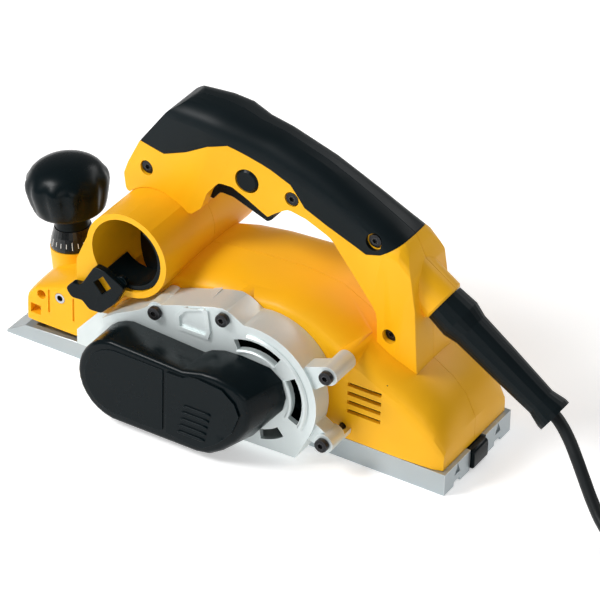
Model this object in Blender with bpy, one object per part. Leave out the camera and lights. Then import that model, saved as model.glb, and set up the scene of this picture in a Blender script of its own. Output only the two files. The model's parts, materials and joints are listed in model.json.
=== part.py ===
"""Electric hand planer, 82 mm wide: every piece of the machine as its own object.

Metres. +X points to the rear of the tool, +Y to its right side, +Z up. The origin is the middle of
the sole's running face. The belt drive is on the left side, and the motor lies across the tool.
"""

import math

import bmesh
import bpy
from mathutils import Matrix, Vector

# Clearances
GAP = 0.0003  # between neighbouring pieces that touch in reality
RUN = 0.0006  # between pieces that turn or slide past each other

# Sole
SOLE_LENGTH = 0.320
SOLE_WIDTH = 0.082
SOLE_PLATE = 0.005
SOLE_WALL = 0.0045
FRONT_RIM = 0.0122
REAR_RIM = 0.0153
TOE_LENGTH = 0.014
LIFT = 0.004  # deepest cut: how far the front sole rises
HALF = SOLE_WIDTH / 2
FRONT_END = -SOLE_LENGTH / 2
REAR_END = SOLE_LENGTH / 2

# Cutter drum
DRUM_X = -0.042
CUT_RADIUS = 0.0282
DRUM_Z = CUT_RADIUS + GAP
DRUM_RADIUS = 0.0262
DRUM_WIDTH = SOLE_WIDTH - 0.002
DRUM_SHAFT = 0.006
CHAMBER_RADIUS = CUT_RADIUS + 0.002
BLADE_THICK = 0.0014
BLADE_DEPTH = 0.011

# Motor
MOTOR_X = 0.038
MOTOR_Z = 0.045
STATOR_RADIUS = 0.034
ROTOR_RADIUS = 0.0195
FAN_RADIUS = 0.034
MOTOR_SHAFT = 0.004
BEARING_WIDTH = 0.008

# Drive side
CASTING_DEPTH = 0.023
CASTING_RADIUS = 0.0445
COVER_DEPTH = 0.027
COVER_WALL = 0.0025
COVER_FRONT_RADIUS = 0.0295
DRUM_PULLEY = 0.0175
MOTOR_PULLEY = 0.009
BELT_THICK = 0.0022
PULLEY_WIDTH = 0.014
SCREW_HEAD = 0.0044
SCREW_SHANK = 0.0022

# Housing
WALL = 0.0028
HOUSING_LOW = REAR_RIM + GAP
FRONT_HOUSING_LOW = FRONT_RIM + LIFT + 0.0008
MOTOR_TOP = 0.098
CROWN_POWER = 3.0

# Chip outlet
BARREL_X = -0.060
BARREL_Z = 0.101
BARREL_RADIUS = 0.029
BARREL_BORE = 0.025
BARREL_LEFT = HALF + 0.014
BARREL_RIGHT = HALF + 0.009
FLAP_THICK = 0.0024
FLAP_MIDDLE = -0.0110  # where the slanted flap crosses the barrel's axis
FLAP_REACH = 0.0237  # how far it runs along the barrel to each side of that
FLAP_BAND_END = -0.0305
LEVER_THICK = 0.005

# Depth knob
KNOB_LEAN = math.radians(7)
KNOB_X = FRONT_END + 0.0247
KNOB_BASE_Z = 0.0548
SPINDLE_FOOT_Z = 0.020
SPINDLE_X = KNOB_X + (KNOB_BASE_Z - SPINDLE_FOOT_Z) * math.tan(KNOB_LEAN)
KNOB_RADIUS = 0.0263
KNOB_HEIGHT = 0.063
COLLAR_RADIUS = 0.0155
SPINDLE_RADIUS = 0.004

# Handle
HANDLE_HALF = 0.0205
GRIP_HALF = 0.0172
NOSE_EDGE_HALF = 0.0155
NOSE_LEAN = 29
CROWN_DROP = 0.015
HANDLE_CROWN_POWER = 2.3
PILLAR_ROUND = 0.006
RUBBER = 0.0028
CAVITY_HALF = 0.0118
SCREW_SINK = 0.0063
TRIGGER_HALF = 0.0095
BUTTON_RADIUS = 0.0076
BUTTON_TRAVEL = 0.003

# Mains lead
GUARD_START = (0.1315, 0.0, 0.1075)
GUARD_FALL = math.radians(33.8)
GUARD_LENGTH = 0.095
GUARD_COLLAR = 0.0130
CORD_DIAMETER = 0.008
COIL_CENTRE = (0.330, 0.010)
COIL_RADII = (0.036, 0.0442, 0.0524)
COIL_LAYERS = 3
COIL_PITCH = 0.0082
PLUG_TOP_GAP = 0.0008

# Planes that several pieces share
CASTING_BACK = -HALF - GAP
CASTING_FACE = -HALF - CASTING_DEPTH
COVER_BACK = CASTING_FACE - GAP
COVER_FACE = CASTING_FACE - COVER_DEPTH
PULLEY_NEAR = CASTING_FACE - 0.004
PULLEY_FAR = PULLEY_NEAR - PULLEY_WIDTH
DRUM = Vector((DRUM_X, 0, DRUM_Z))
MOTOR = Vector((MOTOR_X, 0, MOTOR_Z))
BARREL = Vector((BARREL_X, 0, BARREL_Z))


# ---------------------------------------------------------------- modelling helpers


def clear_scene():
    for obj in list(bpy.data.objects):
        bpy.data.objects.remove(obj)


def plain_material(name, colour, roughness, metallic=0.0):
    made = bpy.data.materials.new(name)
    made.use_nodes = True
    shader = made.node_tree.nodes["Principled BSDF"]
    shader.inputs["Base Color"].default_value = (*colour, 1.0)
    shader.inputs["Roughness"].default_value = roughness
    shader.inputs["Metallic"].default_value = metallic
    return made


def arc(centre, radius, start, end, steps):
    """Points on a circle from one angle to another, in degrees."""
    points = []
    for step in range(steps + 1):
        angle = math.radians(start + (end - start) * step / steps)
        points.append((centre[0] + radius * math.cos(angle), centre[1] + radius * math.sin(angle)))
    return points


def rounded(corners, steps=3):
    """An outline from (x, z, radius) corners, each corner rounded by an arc."""
    points = []
    for index, (x, z, radius) in enumerate(corners):
        here = Vector((x, z))
        before = Vector(corners[index - 1][:2]) - here
        after = Vector(corners[(index + 1) % len(corners)][:2]) - here
        turn = before.angle(after)
        reach = radius / math.tan(turn / 2) if radius else 0.0
        reach = min(reach, 0.45 * before.length, 0.45 * after.length)
        if reach < 1e-5 or turn > math.radians(176):
            points.append((x, z))
            continue
        first = here + before.normalized() * reach
        last = here + after.normalized() * reach
        for step in range(steps + 1):
            t = step / steps
            point = first * (1 - t) ** 2 + here * 2 * t * (1 - t) + last * t ** 2
            points.append((point.x, point.y))
    return points


def closed_up(bm):
    bmesh.ops.remove_doubles(bm, verts=bm.verts, dist=1e-6)
    bmesh.ops.recalc_face_normals(bm, faces=bm.faces)
    return bm


def extruded(points, travel):
    """A flat face of 3D points pushed along a vector into a closed solid."""
    bm = bmesh.new()
    face = bm.faces.new([bm.verts.new(point) for point in points])
    grown = bmesh.ops.extrude_face_region(bm, geom=[face])
    moved = [item for item in grown["geom"] if isinstance(item, bmesh.types.BMVert)]
    bmesh.ops.translate(bm, verts=moved, vec=travel)
    return closed_up(bm)


def plate(outline, y_low, y_high):
    """An outline in X and Z given a thickness along Y."""
    return extruded([(x, y_low, z) for x, z in outline], (0, y_high - y_low, 0))


def slab(outline, z_low, z_high):
    """An outline in X and Y given a thickness along Z."""
    return extruded([(x, y, z_low) for x, y in outline], (0, 0, z_high - z_low))


def box(low, high):
    x0, y0, z0 = low
    x1, y1, z1 = high
    return slab([(x0, y0), (x1, y0), (x1, y1), (x0, y1)], z0, z1)


def turned(profile, place, along, steps=32):
    """A solid turned from (radius, distance) points about an axis through a place."""
    bm = bmesh.new()
    verts = [bm.verts.new((radius, 0, distance)) for radius, distance in profile]
    edges = [bm.edges.new(pair) for pair in zip(verts, verts[1:])]
    if profile[0][0] > 0:
        edges.append(bm.edges.new((verts[-1], verts[0])))
    bmesh.ops.spin(
        bm, geom=verts + edges, cent=(0, 0, 0), axis=(0, 0, 1), angle=math.tau, steps=steps, use_merge=True
    )
    closed_up(bm)
    turn = Vector((0, 0, 1)).rotation_difference(Vector(along)).to_matrix().to_4x4()
    bmesh.ops.transform(bm, matrix=Matrix.Translation(place) @ turn, verts=bm.verts)
    return closed_up(bm)


def rod(radius, place, along, length, steps=24):
    return turned([(0, 0), (radius, 0), (radius, length), (0, length)], place, along, steps)


def rod_y(radius, centre, y_low, y_high, steps=24):
    """A rod along Y about the axis through centre."""
    return rod(radius, (centre[0], y_low, centre[-1]), (0, 1, 0), y_high - y_low, steps)


def ring_y(outer, inner, centre, y_low, y_high, steps=32):
    length = y_high - y_low
    profile = [(inner, 0), (outer, 0), (outer, length), (inner, length)]
    return turned(profile, (centre[0], y_low, centre[-1]), (0, 1, 0), steps)


def lofted(rings):
    """A closed skin over rings that hold the same number of points."""
    bm = bmesh.new()
    loops = [[bm.verts.new(point) for point in ring] for ring in rings]
    for near, far in zip(loops, loops[1:]):
        for index in range(len(near)):
            following = (index + 1) % len(near)
            bm.faces.new((near[index], near[following], far[following], far[index]))
    bmesh.ops.triangulate(bm, faces=bm.faces)
    bm.faces.new(loops[0])
    bm.faces.new(loops[-1])
    return closed_up(bm)


def bevelled(bm, width, segments=1):
    """All edges that are sharper than 40 degrees, bevelled."""
    sharp = [edge for edge in bm.edges if edge.calc_face_angle(0.0) > math.radians(40)]
    bmesh.ops.bevel(
        bm, geom=sharp, offset=width, segments=segments, profile=0.5, affect="EDGES", clamp_overlap=True
    )
    return closed_up(bm)


def add(name, bm, finish, parent=None):
    """The mesh as a named object, its origin on its parent's place."""
    origin = parent.location if parent else Vector((0, 0, 0))
    bmesh.ops.translate(bm, verts=bm.verts, vec=-origin)
    mesh = bpy.data.meshes.new(name)
    bm.to_mesh(mesh)
    bm.free()
    mesh.shade_smooth()
    mesh.set_sharp_from_angle(angle=math.radians(35))
    mesh.materials.append(finish)
    obj = bpy.data.objects.new(name, mesh)
    obj.parent = parent
    bpy.context.scene.collection.objects.link(obj)
    return obj


def cutter(name, bm):
    """A helper solid for a Boolean, left out of the model."""
    mesh = bpy.data.meshes.new(name)
    bm.to_mesh(mesh)
    bm.free()
    obj = bpy.data.objects.new(name, mesh)
    bpy.context.scene.collection.objects.link(obj)
    obj.hide_render = True
    obj.display_type = "WIRE"
    return obj


def boolean(obj, operation, tools):
    """One Boolean modifier for all the tools, held in a collection that stays out of the render."""
    group = bpy.data.collections.new(f"{obj.name}_{operation.lower()}_{len(obj.modifiers)}")
    group.hide_render = True
    bpy.context.scene.collection.children.link(group)
    for tool in tools:
        group.objects.link(tool)
    modifier = obj.modifiers.new(group.name, "BOOLEAN")
    modifier.operation = operation
    modifier.operand_type = "COLLECTION"
    modifier.collection = group
    modifier.solver = "EXACT"
    return obj


def cut(obj, *tools):
    return boolean(obj, "DIFFERENCE", tools)


def join(obj, *tools):
    return boolean(obj, "UNION", tools)


def keep(obj, *tools):
    return boolean(obj, "INTERSECT", tools)


def joint_empty(name, place):
    """An empty on a joint's axis, which carries the pieces that move together."""
    empty = bpy.data.objects.new(name, None)
    empty.location = place
    empty.empty_display_size = 0.02
    bpy.context.scene.collection.objects.link(empty)
    return empty


# ---------------------------------------------------------------- finishes and joint axes

clear_scene()

YELLOW = plain_material("yellow_plastic", (0.95, 0.55, 0.02), 0.38)
RUBBER_BLACK = plain_material("soft_rubber", (0.015, 0.02, 0.025), 0.6)
BLACK = plain_material("black_plastic", (0.012, 0.014, 0.016), 0.4)
ALUMINIUM = plain_material("cast_aluminium", (0.66, 0.70, 0.71), 0.42, 1.0)
STEEL = plain_material("steel", (0.55, 0.56, 0.57), 0.3, 1.0)
BLACK_SCREW = plain_material("black_screw", (0.02, 0.02, 0.02), 0.45, 0.6)
COPPER = plain_material("copper", (0.72, 0.38, 0.18), 0.35, 1.0)
IRON = plain_material("laminated_iron", (0.35, 0.35, 0.36), 0.5, 1.0)
CARBON = plain_material("carbon", (0.05, 0.05, 0.05), 0.6)

drum_axis = joint_empty("drum_axis", DRUM)
motor_axis = joint_empty("motor_axis", MOTOR)
barrel_axis = joint_empty("barrel_axis", BARREL)
knob_place = Vector((KNOB_X, 0, KNOB_BASE_Z))
knob_along = Vector((-math.sin(KNOB_LEAN), 0, math.cos(KNOB_LEAN)))
knob_axis = joint_empty("knob_axis", knob_place)


# ---------------------------------------------------------------- sole


def sole_groove(x_low, x_high, y, z=0.0):
    """A cutter for one V-shaped groove along the running face."""
    half = 0.0035
    points = [(x_low, y - half, z - 0.001), (x_low, y + half, z - 0.001), (x_low, y, z + half - 0.001)]
    return extruded(points, (x_high - x_low, 0, 0))


def front_sole_side():
    """The front sole seen from the side, from its toe to the throat in front of the drum."""
    throat = DRUM_X - 0.020
    return [
        (FRONT_END, 0),
        (throat, 0),
        (throat, 0.0025),
        (throat - 0.0085, FRONT_RIM),
        (FRONT_END + TOE_LENGTH + 0.040, FRONT_RIM),
        (FRONT_END + TOE_LENGTH, FRONT_RIM - 0.0018),
        (FRONT_END, 0.0018),
    ]


def make_front_sole():
    sole = add("front_sole", plate(front_sole_side(), -HALF, HALF), ALUMINIUM)
    tray_front = FRONT_END + TOE_LENGTH + 0.006
    tray_rear = DRUM_X - 0.036
    inner = HALF - SOLE_WALL
    tray = box((tray_front, -inner, SOLE_PLATE), (tray_rear, inner, FRONT_RIM + 0.01))
    cut(sole, cutter("front_tray", tray))
    join(sole, cutter("front_sole_boss", rod(0.0095, (SPINDLE_X, 0, 0.002), (0, 0, 1), 0.0142)))
    bore_start = knob_place - knob_along * (KNOB_BASE_Z - 0.0035)
    bore = rod(SPINDLE_RADIUS + RUN + 0.0006, bore_start, knob_along, 0.02)
    cut(sole, cutter("spindle_bore", bore))
    for number, side in enumerate((-0.5, 0.5)):
        cut(sole, cutter(f"front_groove_{number}", sole_groove(FRONT_END - 0.01, DRUM_X, side * HALF)))
    return sole


def make_rear_sole():
    lip = DRUM_X + 0.013
    side = [
        (lip, 0),
        (REAR_END, 0),
        (REAR_END, REAR_RIM),
        (DRUM_X + 0.028, REAR_RIM),
        (DRUM_X + 0.020, 0.006),
        (lip, 0.001),
    ]
    sole = add("rear_sole", plate(side, -HALF, HALF), ALUMINIUM)
    inner = HALF - SOLE_WALL
    cut(sole, cutter("rear_tray", box((0.004, -inner, SOLE_PLATE), (REAR_END - 0.022, inner, 0.03))))
    foot_slot = box((REAR_END - 0.020, -0.0095, -0.01), (REAR_END + 0.01, 0.0095, 0.03))
    cut(sole, cutter("foot_slot", foot_slot))
    for number, side_y in enumerate((-0.025, 0.025)):
        mark = [
            (REAR_END - 0.0015, side_y - 0.0035, 0.0075),
            (REAR_END - 0.0015, side_y + 0.0035, 0.0075),
            (REAR_END - 0.0015, side_y, 0.0155),
        ]
        cut(sole, cutter(f"end_mark_{number}", extruded(mark, (0.01, 0, 0))))
        notch = box((REAR_END - 0.004, side_y - 0.004, -0.01), (REAR_END + 0.01, side_y + 0.004, 0.003))
        cut(sole, cutter(f"end_notch_{number}", notch))
    pin_hole = rod_y(0.0015 + GAP, (REAR_END - 0.011, 0, 0.0105), -0.0155, 0.0155, 12)
    cut(sole, cutter("foot_pin_hole", pin_hole))
    return sole


def make_parking_foot():
    """The foot that holds the rear of the sole off the bench, folded up in its slot."""
    pivot = Vector((REAR_END - 0.011, 0, 0.0105))
    swing = joint_empty("foot_axis", pivot)
    side = rounded(
        [
            (REAR_END - 0.0155, 0.0145, 0.003),
            (REAR_END - 0.0155, 0.0065, 0.003),
            (REAR_END - 0.004, 0.0008, 0.002),
            (REAR_END + 0.0025, 0.0012, 0.002),
            (REAR_END + 0.0025, 0.0145, 0.003),
        ]
    )
    foot = add("parking_foot", plate(side, -0.0085, 0.0085), BLACK, swing)
    cut(foot, cutter("foot_bore", rod_y(0.0015 + GAP, pivot, -0.02, 0.02, 12)))
    cut(foot, cutter("foot_spring_slot", box(
        (REAR_END - 0.030, -0.0035, 0.0), (REAR_END - 0.0065, 0.0035, 0.03))))
    add("foot_pin", rod_y(0.0015, pivot, -0.015, 0.015, 12), STEEL)
    add("foot_spring", ring_y(0.0036, 0.0015 + GAP, pivot, -0.003, 0.003, 16), STEEL)


# ---------------------------------------------------------------- housing


def body_ring(x, half, z_low, z_side, z_top, grow):
    """One crosswise section: flat bottom, upright sides and a crowned top."""
    half = half + grow
    points = [(x, -half, z_low - grow), (x, half, z_low - grow)]
    steps = 14
    for step in range(steps + 1):
        angle = math.pi * step / steps
        across = math.cos(angle)
        up = max(math.sin(angle), 0.0)
        y = half * math.copysign(abs(across) ** (2 / CROWN_POWER), across)
        z = z_side + (z_top + grow - z_side) * up ** (2 / CROWN_POWER)
        points.append((x, y, z))
    return points


def body_stations():
    """The housing's sections from front to rear: place, half width, bottom, side height, crown."""
    low = FRONT_HOUSING_LOW
    return [
        (FRONT_END + 0.0145, HALF - 0.003, low, 0.026, 0.033),
        (FRONT_END + 0.0165, HALF - 0.0005, low, 0.033, 0.0385),
        (FRONT_END + 0.0230, HALF, low, 0.041, 0.0445),
        (FRONT_END + 0.0500, HALF, low, 0.048, 0.056),
        (DRUM_X - 0.053, HALF, low, 0.051, 0.066),
        (DRUM_X - 0.032, HALF, low, 0.058, 0.079),
        (DRUM_X - 0.003, HALF, HOUSING_LOW, 0.067, 0.089),
        (DRUM_X + 0.022, HALF, HOUSING_LOW, 0.078, 0.0945),
        (MOTOR_X - 0.0365, HALF, HOUSING_LOW, 0.084, MOTOR_TOP - 0.0015),
        (MOTOR_X, HALF, HOUSING_LOW, 0.088, MOTOR_TOP),
        (MOTOR_X + 0.024, HALF, HOUSING_LOW, 0.083, MOTOR_TOP - 0.0025),
        (MOTOR_X + 0.048, HALF, HOUSING_LOW, 0.068, 0.083),
        (MOTOR_X + 0.067, HALF, HOUSING_LOW, 0.058, 0.073),
        (REAR_END - 0.032, HALF, HOUSING_LOW, 0.046, 0.0645),
        (REAR_END - 0.019, HALF - 0.0005, HOUSING_LOW, 0.037, 0.0566),
        (REAR_END - 0.010, HALF - 0.001, HOUSING_LOW, 0.030, 0.0475),
        (REAR_END - 0.003, HALF - 0.003, HOUSING_LOW, 0.022, 0.033),
    ]


def body_skin(grow=0.0, first=0, last=None):
    return lofted([body_ring(*station, grow) for station in body_stations()[first:last]])


def outlet_web():
    """The plate below and in front of the left mouth of the chip outlet."""
    x = BARREL_X
    z = BARREL_Z
    return [
        (x - 0.0365, z - 0.0145),
        (x - 0.0240, z + 0.0150),
        (x, z),
        (x + 0.004, z - 0.027),
        (x - 0.0010, z - 0.0285),
        (x - 0.0105, z - 0.0410),
        (x - 0.0300, z - 0.0465),
        (x - 0.0365, z - 0.0405),
    ]


def casting_screw_places():
    """Where the four screws hold the drive casting: X, Z and the head's distance from the side."""
    return [
        (DRUM_X + 0.010, MOTOR_Z + 0.031),
        (MOTOR_X - 0.0215, MOTOR_Z + 0.0438),
        (MOTOR_X + 0.0515, MOTOR_Z + 0.029),
        (MOTOR_X + 0.0500, MOTOR_Z - 0.021),
    ]


def housing_tools():
    """The solids that both halves of the housing are joined with, and those that cut them."""
    joined = [
        cutter("barrel", rod_y(BARREL_RADIUS, BARREL, -BARREL_LEFT, BARREL_RIGHT, 40)),
        cutter("outlet_web", plate(outlet_web(), -BARREL_LEFT, -HALF + 0.012)),
        cutter("knob_boss", rod(
            COLLAR_RADIUS + 0.0005, knob_place - knob_along * 0.016, knob_along, 0.0155)),
        cutter("rear_tongue", box((0.1090, -CAVITY_HALF + GAP, 0.050), (0.1168, CAVITY_HALF - GAP, 0.094))),
        cutter("front_tongue", box(
            (BARREL_X - 0.004, -CAVITY_HALF + GAP, BARREL_Z + 0.015),
            (BARREL_X + 0.018, CAVITY_HALF - GAP, BARREL_Z + 0.040))),
    ]
    for number, (x, z) in enumerate(casting_screw_places()):
        boss = rod_y(0.0062, (x, 0, z), -HALF, -HALF + 0.026, 16)
        joined.append(cutter(f"screw_boss_{number}", boss))
    cheek = arc((DRUM_X, DRUM_Z), 0.035, -21, 199, 20) + [
        (DRUM_X - 0.0185, FRONT_HOUSING_LOW), (DRUM_X - 0.0185, 0.0075),
        (DRUM_X + 0.0115, 0.0075), (DRUM_X + 0.0115, HOUSING_LOW),
    ]
    joined.append(cutter("drum_cheek", plate(cheek, HALF - 0.012, HALF + 0.0035)))
    side = HALF - WALL
    cuts = [
        cutter("motor_bay", body_skin(-WALL, 8, 16)),
        cutter("motor_opening", box((MOTOR_X - 0.0355, -side, -0.01), (MOTOR_X + 0.036, side, MOTOR_Z))),
        cutter("fan_port", rod_y(FAN_RADIUS + 0.0025, MOTOR, -HALF - 0.01, 0, 40)),
        cutter("drum_chamber", rod_y(CHAMBER_RADIUS, DRUM, -HALF - 0.01, DRUM_WIDTH / 2 + RUN, 40)),
        cutter("chip_chute", box((BARREL_X - 0.012, -0.030, DRUM_Z), (BARREL_X + 0.014, 0.030, BARREL_Z))),
        cutter("barrel_bore", rod_y(BARREL_BORE, BARREL, -BARREL_LEFT - 0.01, BARREL_RIGHT + 0.01, 40)),
        cutter("spindle_way", rod(
            SPINDLE_RADIUS + RUN, knob_place - knob_along * 0.06, knob_along, 0.10, 20)),
        cutter("spring_pocket", rod(0.0102, (SPINDLE_X, 0, 0), (0, 0, 1), 0.034)),
        cutter("collar_room", rod(
            COLLAR_RADIUS + 0.0012, knob_place - knob_along * RUN, knob_along, 0.05, 32)),
    ]
    return joined, cuts


def front_pad_cuts():
    """Pockets and grooves on the flat left side of the nose, where a side fence is fixed."""
    outside = -HALF - 0.01
    x = FRONT_END
    latch = box((x + 0.0185, outside, 0.0225), (x + 0.0265, -HALF + 0.006, 0.0295))
    oval = rod_y(0.0033, (x + 0.027, 0, 0.0385), outside, -HALF + 0.008, 12)
    insert = rod_y(0.0035 + GAP, (x + 0.041, 0, 0.0405), outside, -HALF + 0.0125, 16)
    groove_a = box((x + 0.0320, outside, 0.027), (x + 0.0335, -HALF + 0.001, 0.044))
    groove_b = box((x + 0.0505, outside, 0.027), (x + 0.0520, -HALF + 0.001, 0.044))
    made = (("latch_pocket", latch), ("oval_pocket", oval), ("insert_hole", insert))
    grooves = (("front_groove_a", groove_a), ("front_groove_b", groove_b))
    return [cutter(name, bm) for name, bm in made + grooves]


def make_housing():
    joined, cuts = housing_tools()
    low_x = FRONT_END - 0.05
    high_x = REAR_END + 0.05
    spare = HALF + 0.05
    right = add("housing_right", body_skin(), YELLOW)
    join(right, *joined)
    cut(right, *cuts, cutter("left_side", box((low_x, -spare, -0.02), (high_x, GAP / 2, 0.2))))
    stub = cutter("bearing_stub", rod_y(0.004, DRUM, DRUM_WIDTH / 2 - 0.012, HALF + 0.002, 20))
    seat = cutter("motor_seat", ring_y(0.0155, 0.0113, MOTOR, HALF - 0.0125, HALF - 0.001, 32))
    join(right, stub, seat)
    left_cuts = [cutter("right_side", box((low_x, -GAP / 2, -0.02), (high_x, spare, 0.2)))]
    for number in range(4):
        z = MOTOR_Z - 0.010 + 0.0065 * number
        slot = box((MOTOR_X + 0.0525, -HALF - 0.01, z), (MOTOR_X + 0.0760, -HALF + 0.006, z + 0.0028))
        left_cuts.append(cutter(f"vent_{number}", slot))
    for number, (x, z) in enumerate(casting_screw_places()):
        hole = rod_y(SCREW_SHANK + GAP, (x, 0, z), -HALF - 0.01, -HALF + 0.0215, 12)
        left_cuts.append(cutter(f"screw_hole_{number}", hole))
    left_cuts += front_pad_cuts()
    left = add("housing_left", body_skin(), YELLOW)
    join(left, *joined)
    cut(left, *cuts, *left_cuts)
    insert = ring_y(0.0035, 0.0021, (FRONT_END + 0.041, 0, 0.0405), -HALF, -HALF + 0.012, 16)
    add("fence_insert", insert, STEEL)


# ---------------------------------------------------------------- drive casting, belt and cover


def casting_outline():
    """The casting's face: round about the motor, with a foot at its lower rear and a lobe to the front."""
    centre = (MOTOR_X, MOTOR_Z)
    top = arc(centre, CASTING_RADIUS, -26, 100, 16)
    return [(MOTOR_X + 0.0307, MOTOR_Z - 0.039)] + top + [
        (MOTOR_X - 0.0165, MOTOR_Z + 0.0490),
        (MOTOR_X - 0.0225, MOTOR_Z + 0.0505),
        (MOTOR_X - 0.0300, MOTOR_Z + 0.0490),
        (DRUM_X + 0.022, 0.0850),
        (DRUM_X + 0.005, 0.0785),
        (DRUM_X - 0.003, 0.0722),
        (DRUM_X - 0.020, 0.0632),
        (DRUM_X - 0.030, 0.0560),
    ] + arc((DRUM_X - 0.001, 0.034), COVER_FRONT_RADIUS + 0.003, 150, 258, 10)


def make_casting():
    casting = add("drive_housing", plate(casting_outline(), CASTING_FACE, CASTING_BACK), ALUMINIUM)
    foot = [
        (DRUM_X - 0.0585, 0.0185),
        (DRUM_X - 0.0400, 0.0185),
        (DRUM_X - 0.0200, 0.0300),
        (DRUM_X - 0.0300, 0.0500),
        (DRUM_X - 0.0420, 0.0480),
        (DRUM_X - 0.0585, 0.0290),
    ]
    tools = [cutter("casting_foot", plate(foot, CASTING_BACK - 0.008, CASTING_BACK - 0.00005))]
    for number, (x, z) in enumerate(casting_screw_places()):
        boss = rod_y(0.0064, (x, 0, z), CASTING_FACE + 0.0005, CASTING_BACK - 0.0001, 20)
        tools.append(cutter(f"casting_boss_{number}", boss))
    for number, (x, z) in enumerate(casting_screw_places()[2:]):
        reach = Vector((x - MOTOR_X, z - MOTOR_Z))
        side = reach.orthogonal().normalized() * 0.0055
        inner = Vector((MOTOR_X, MOTOR_Z)) + reach * 0.62
        outer = Vector((x, z))
        ear = [tuple(inner + side * 1.6), tuple(inner - side * 1.6), tuple(outer - side), tuple(outer + side)]
        lug = plate(ear, CASTING_FACE + 0.0025, CASTING_FACE + 0.0135)
        tools.append(cutter(f"casting_ear_{number}", lug))
    join(casting, *tools)
    face = 0.0035
    cuts = [
        cutter("fan_chamber", rod_y(FAN_RADIUS + 0.0025, MOTOR, CASTING_FACE + face, 0, 40)),
        cutter("motor_hole", rod_y(MOTOR_SHAFT + RUN, MOTOR, CASTING_FACE - 0.01, 0, 20)),
        cutter("drum_hole", rod_y(DRUM_SHAFT + RUN, DRUM, CASTING_FACE - 0.01, 0, 24)),
        cutter("drum_seat", rod_y(0.0143, DRUM, CASTING_BACK - BEARING_WIDTH - GAP, 0, 32)),
    ]
    neck = arc((MOTOR_X, MOTOR_Z), 0.0385, -33, 28, 8) + arc((MOTOR_X, MOTOR_Z), 0.060, 28, -33, 4)
    cuts.append(cutter("neck", plate(neck, CASTING_BACK - 0.008, 0)))
    cuts.append(cutter("outlet_room", rod_y(BARREL_RADIUS + GAP, BARREL, CASTING_FACE - 0.01, 0, 38)))
    for number, (start, end) in enumerate(((57, 115), (-25, 33), (-80, -50))):
        inner = arc((MOTOR_X, MOTOR_Z), 0.0275, start, end, 8)
        outer = arc((MOTOR_X, MOTOR_Z), 0.0345, end, start, 8)
        slot = plate(inner + outer, CASTING_FACE - 0.01, CASTING_FACE + 0.01)
        cuts.append(cutter(f"air_slot_{number}", slot))
    for number, (x, z) in enumerate(casting_screw_places()):
        cuts.append(cutter(f"casting_screw_hole_{number}", rod_y(
            SCREW_SHANK + GAP, (x, 0, z), CASTING_FACE - 0.01, 0, 12)))
    cut(casting, *cuts)
    seat = ring_y(0.0150, 0.0113, MOTOR, CASTING_FACE + 0.002, CASTING_FACE + face + BEARING_WIDTH, 32)
    join(casting, cutter("motor_bearing_seat", seat))
    return casting


def make_casting_screws():
    for number, (x, z) in enumerate(casting_screw_places()):
        head = CASTING_FACE - GAP
        if number > 1:
            head = CASTING_FACE + 0.0005 - GAP
        profile = [
            (0, -0.0035), (SCREW_HEAD - 0.0006, -0.0035), (SCREW_HEAD, -0.0025), (SCREW_HEAD, 0),
            (SCREW_SHANK, 0), (SCREW_SHANK, -HALF + 0.020 - head), (0, -HALF + 0.020 - head),
        ]
        screw = turned(profile, (x, head, z), (0, 1, 0), 16)
        add(f"casting_screw_{number + 1}", screw, BLACK_SCREW)


def cover_ring(y, spread, inset):
    """The belt cover's outline at one depth: wide at the casting for spread 0, drawn in at its face for 1."""
    wide = [
        (-0.0220, -0.0407), (-0.0086, -0.0401), (0.0014, -0.0330), (0.0120, -0.0190), (0.0217, -0.0064),
        (0.0238, 0.0030), (0.0205, 0.0147), (0.0119, 0.0209), (-0.0074, 0.0223), (-0.0200, 0.0215),
        (-0.0290, 0.0185), (-0.0344, 0.0148),
    ]
    narrow = [
        (-0.0240, -0.0402), (-0.0150, -0.0385), (-0.0060, -0.0325), (0.0050, -0.0215), (0.0115, -0.0110),
        (0.0133, 0.0000), (0.0105, 0.0115), (0.0025, 0.0170), (-0.0105, 0.0195), (-0.0210, 0.0190),
        (-0.0285, 0.0170), (-0.0340, 0.0155),
    ]
    front = arc((DRUM_X - 0.001, DRUM_Z + 0.0055), COVER_FRONT_RADIUS - 0.0003 * spread, 100, 262, 14)
    outline = [Vector(point) for point in front]
    for (wide_x, wide_z), (narrow_x, narrow_z) in zip(wide, narrow):
        x = MOTOR_X + wide_x + (narrow_x - wide_x) * spread
        z = MOTOR_Z + wide_z + (narrow_z - wide_z) * spread
        outline.append(Vector((x, z)))
    ring = []
    for index, point in enumerate(outline):
        along = outline[(index + 1) % len(outline)] - outline[index - 1]
        inward = Vector((-along.y, along.x)).normalized()
        moved = point + inward * inset
        ring.append((moved.x, y, moved.y))
    return ring


def cover_shell(inset, y_face, y_back, rounding, segments):
    """The cover's outer or inner skin, with its face's edge rounded."""
    shell = lofted([cover_ring(y_back, 0.0, inset), cover_ring(y_face, 1.0, inset)])
    face_edges = [edge for edge in shell.edges if all(abs(vert.co.y - y_face) < 1e-6 for vert in edge.verts)]
    bmesh.ops.bevel(
        shell, geom=face_edges, offset=rounding, segments=segments, profile=0.5, affect="EDGES",
        clamp_overlap=True,
    )
    return closed_up(shell)


def make_cover():
    cover = add("belt_cover", cover_shell(0.0, COVER_FACE, COVER_BACK, 0.003, 3), BLACK)
    inside = cover_shell(COVER_WALL, COVER_FACE + COVER_WALL, COVER_BACK + 0.01, 0.002, 2)
    cut(cover, cutter("cover_inside", inside))
    return cover


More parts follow.
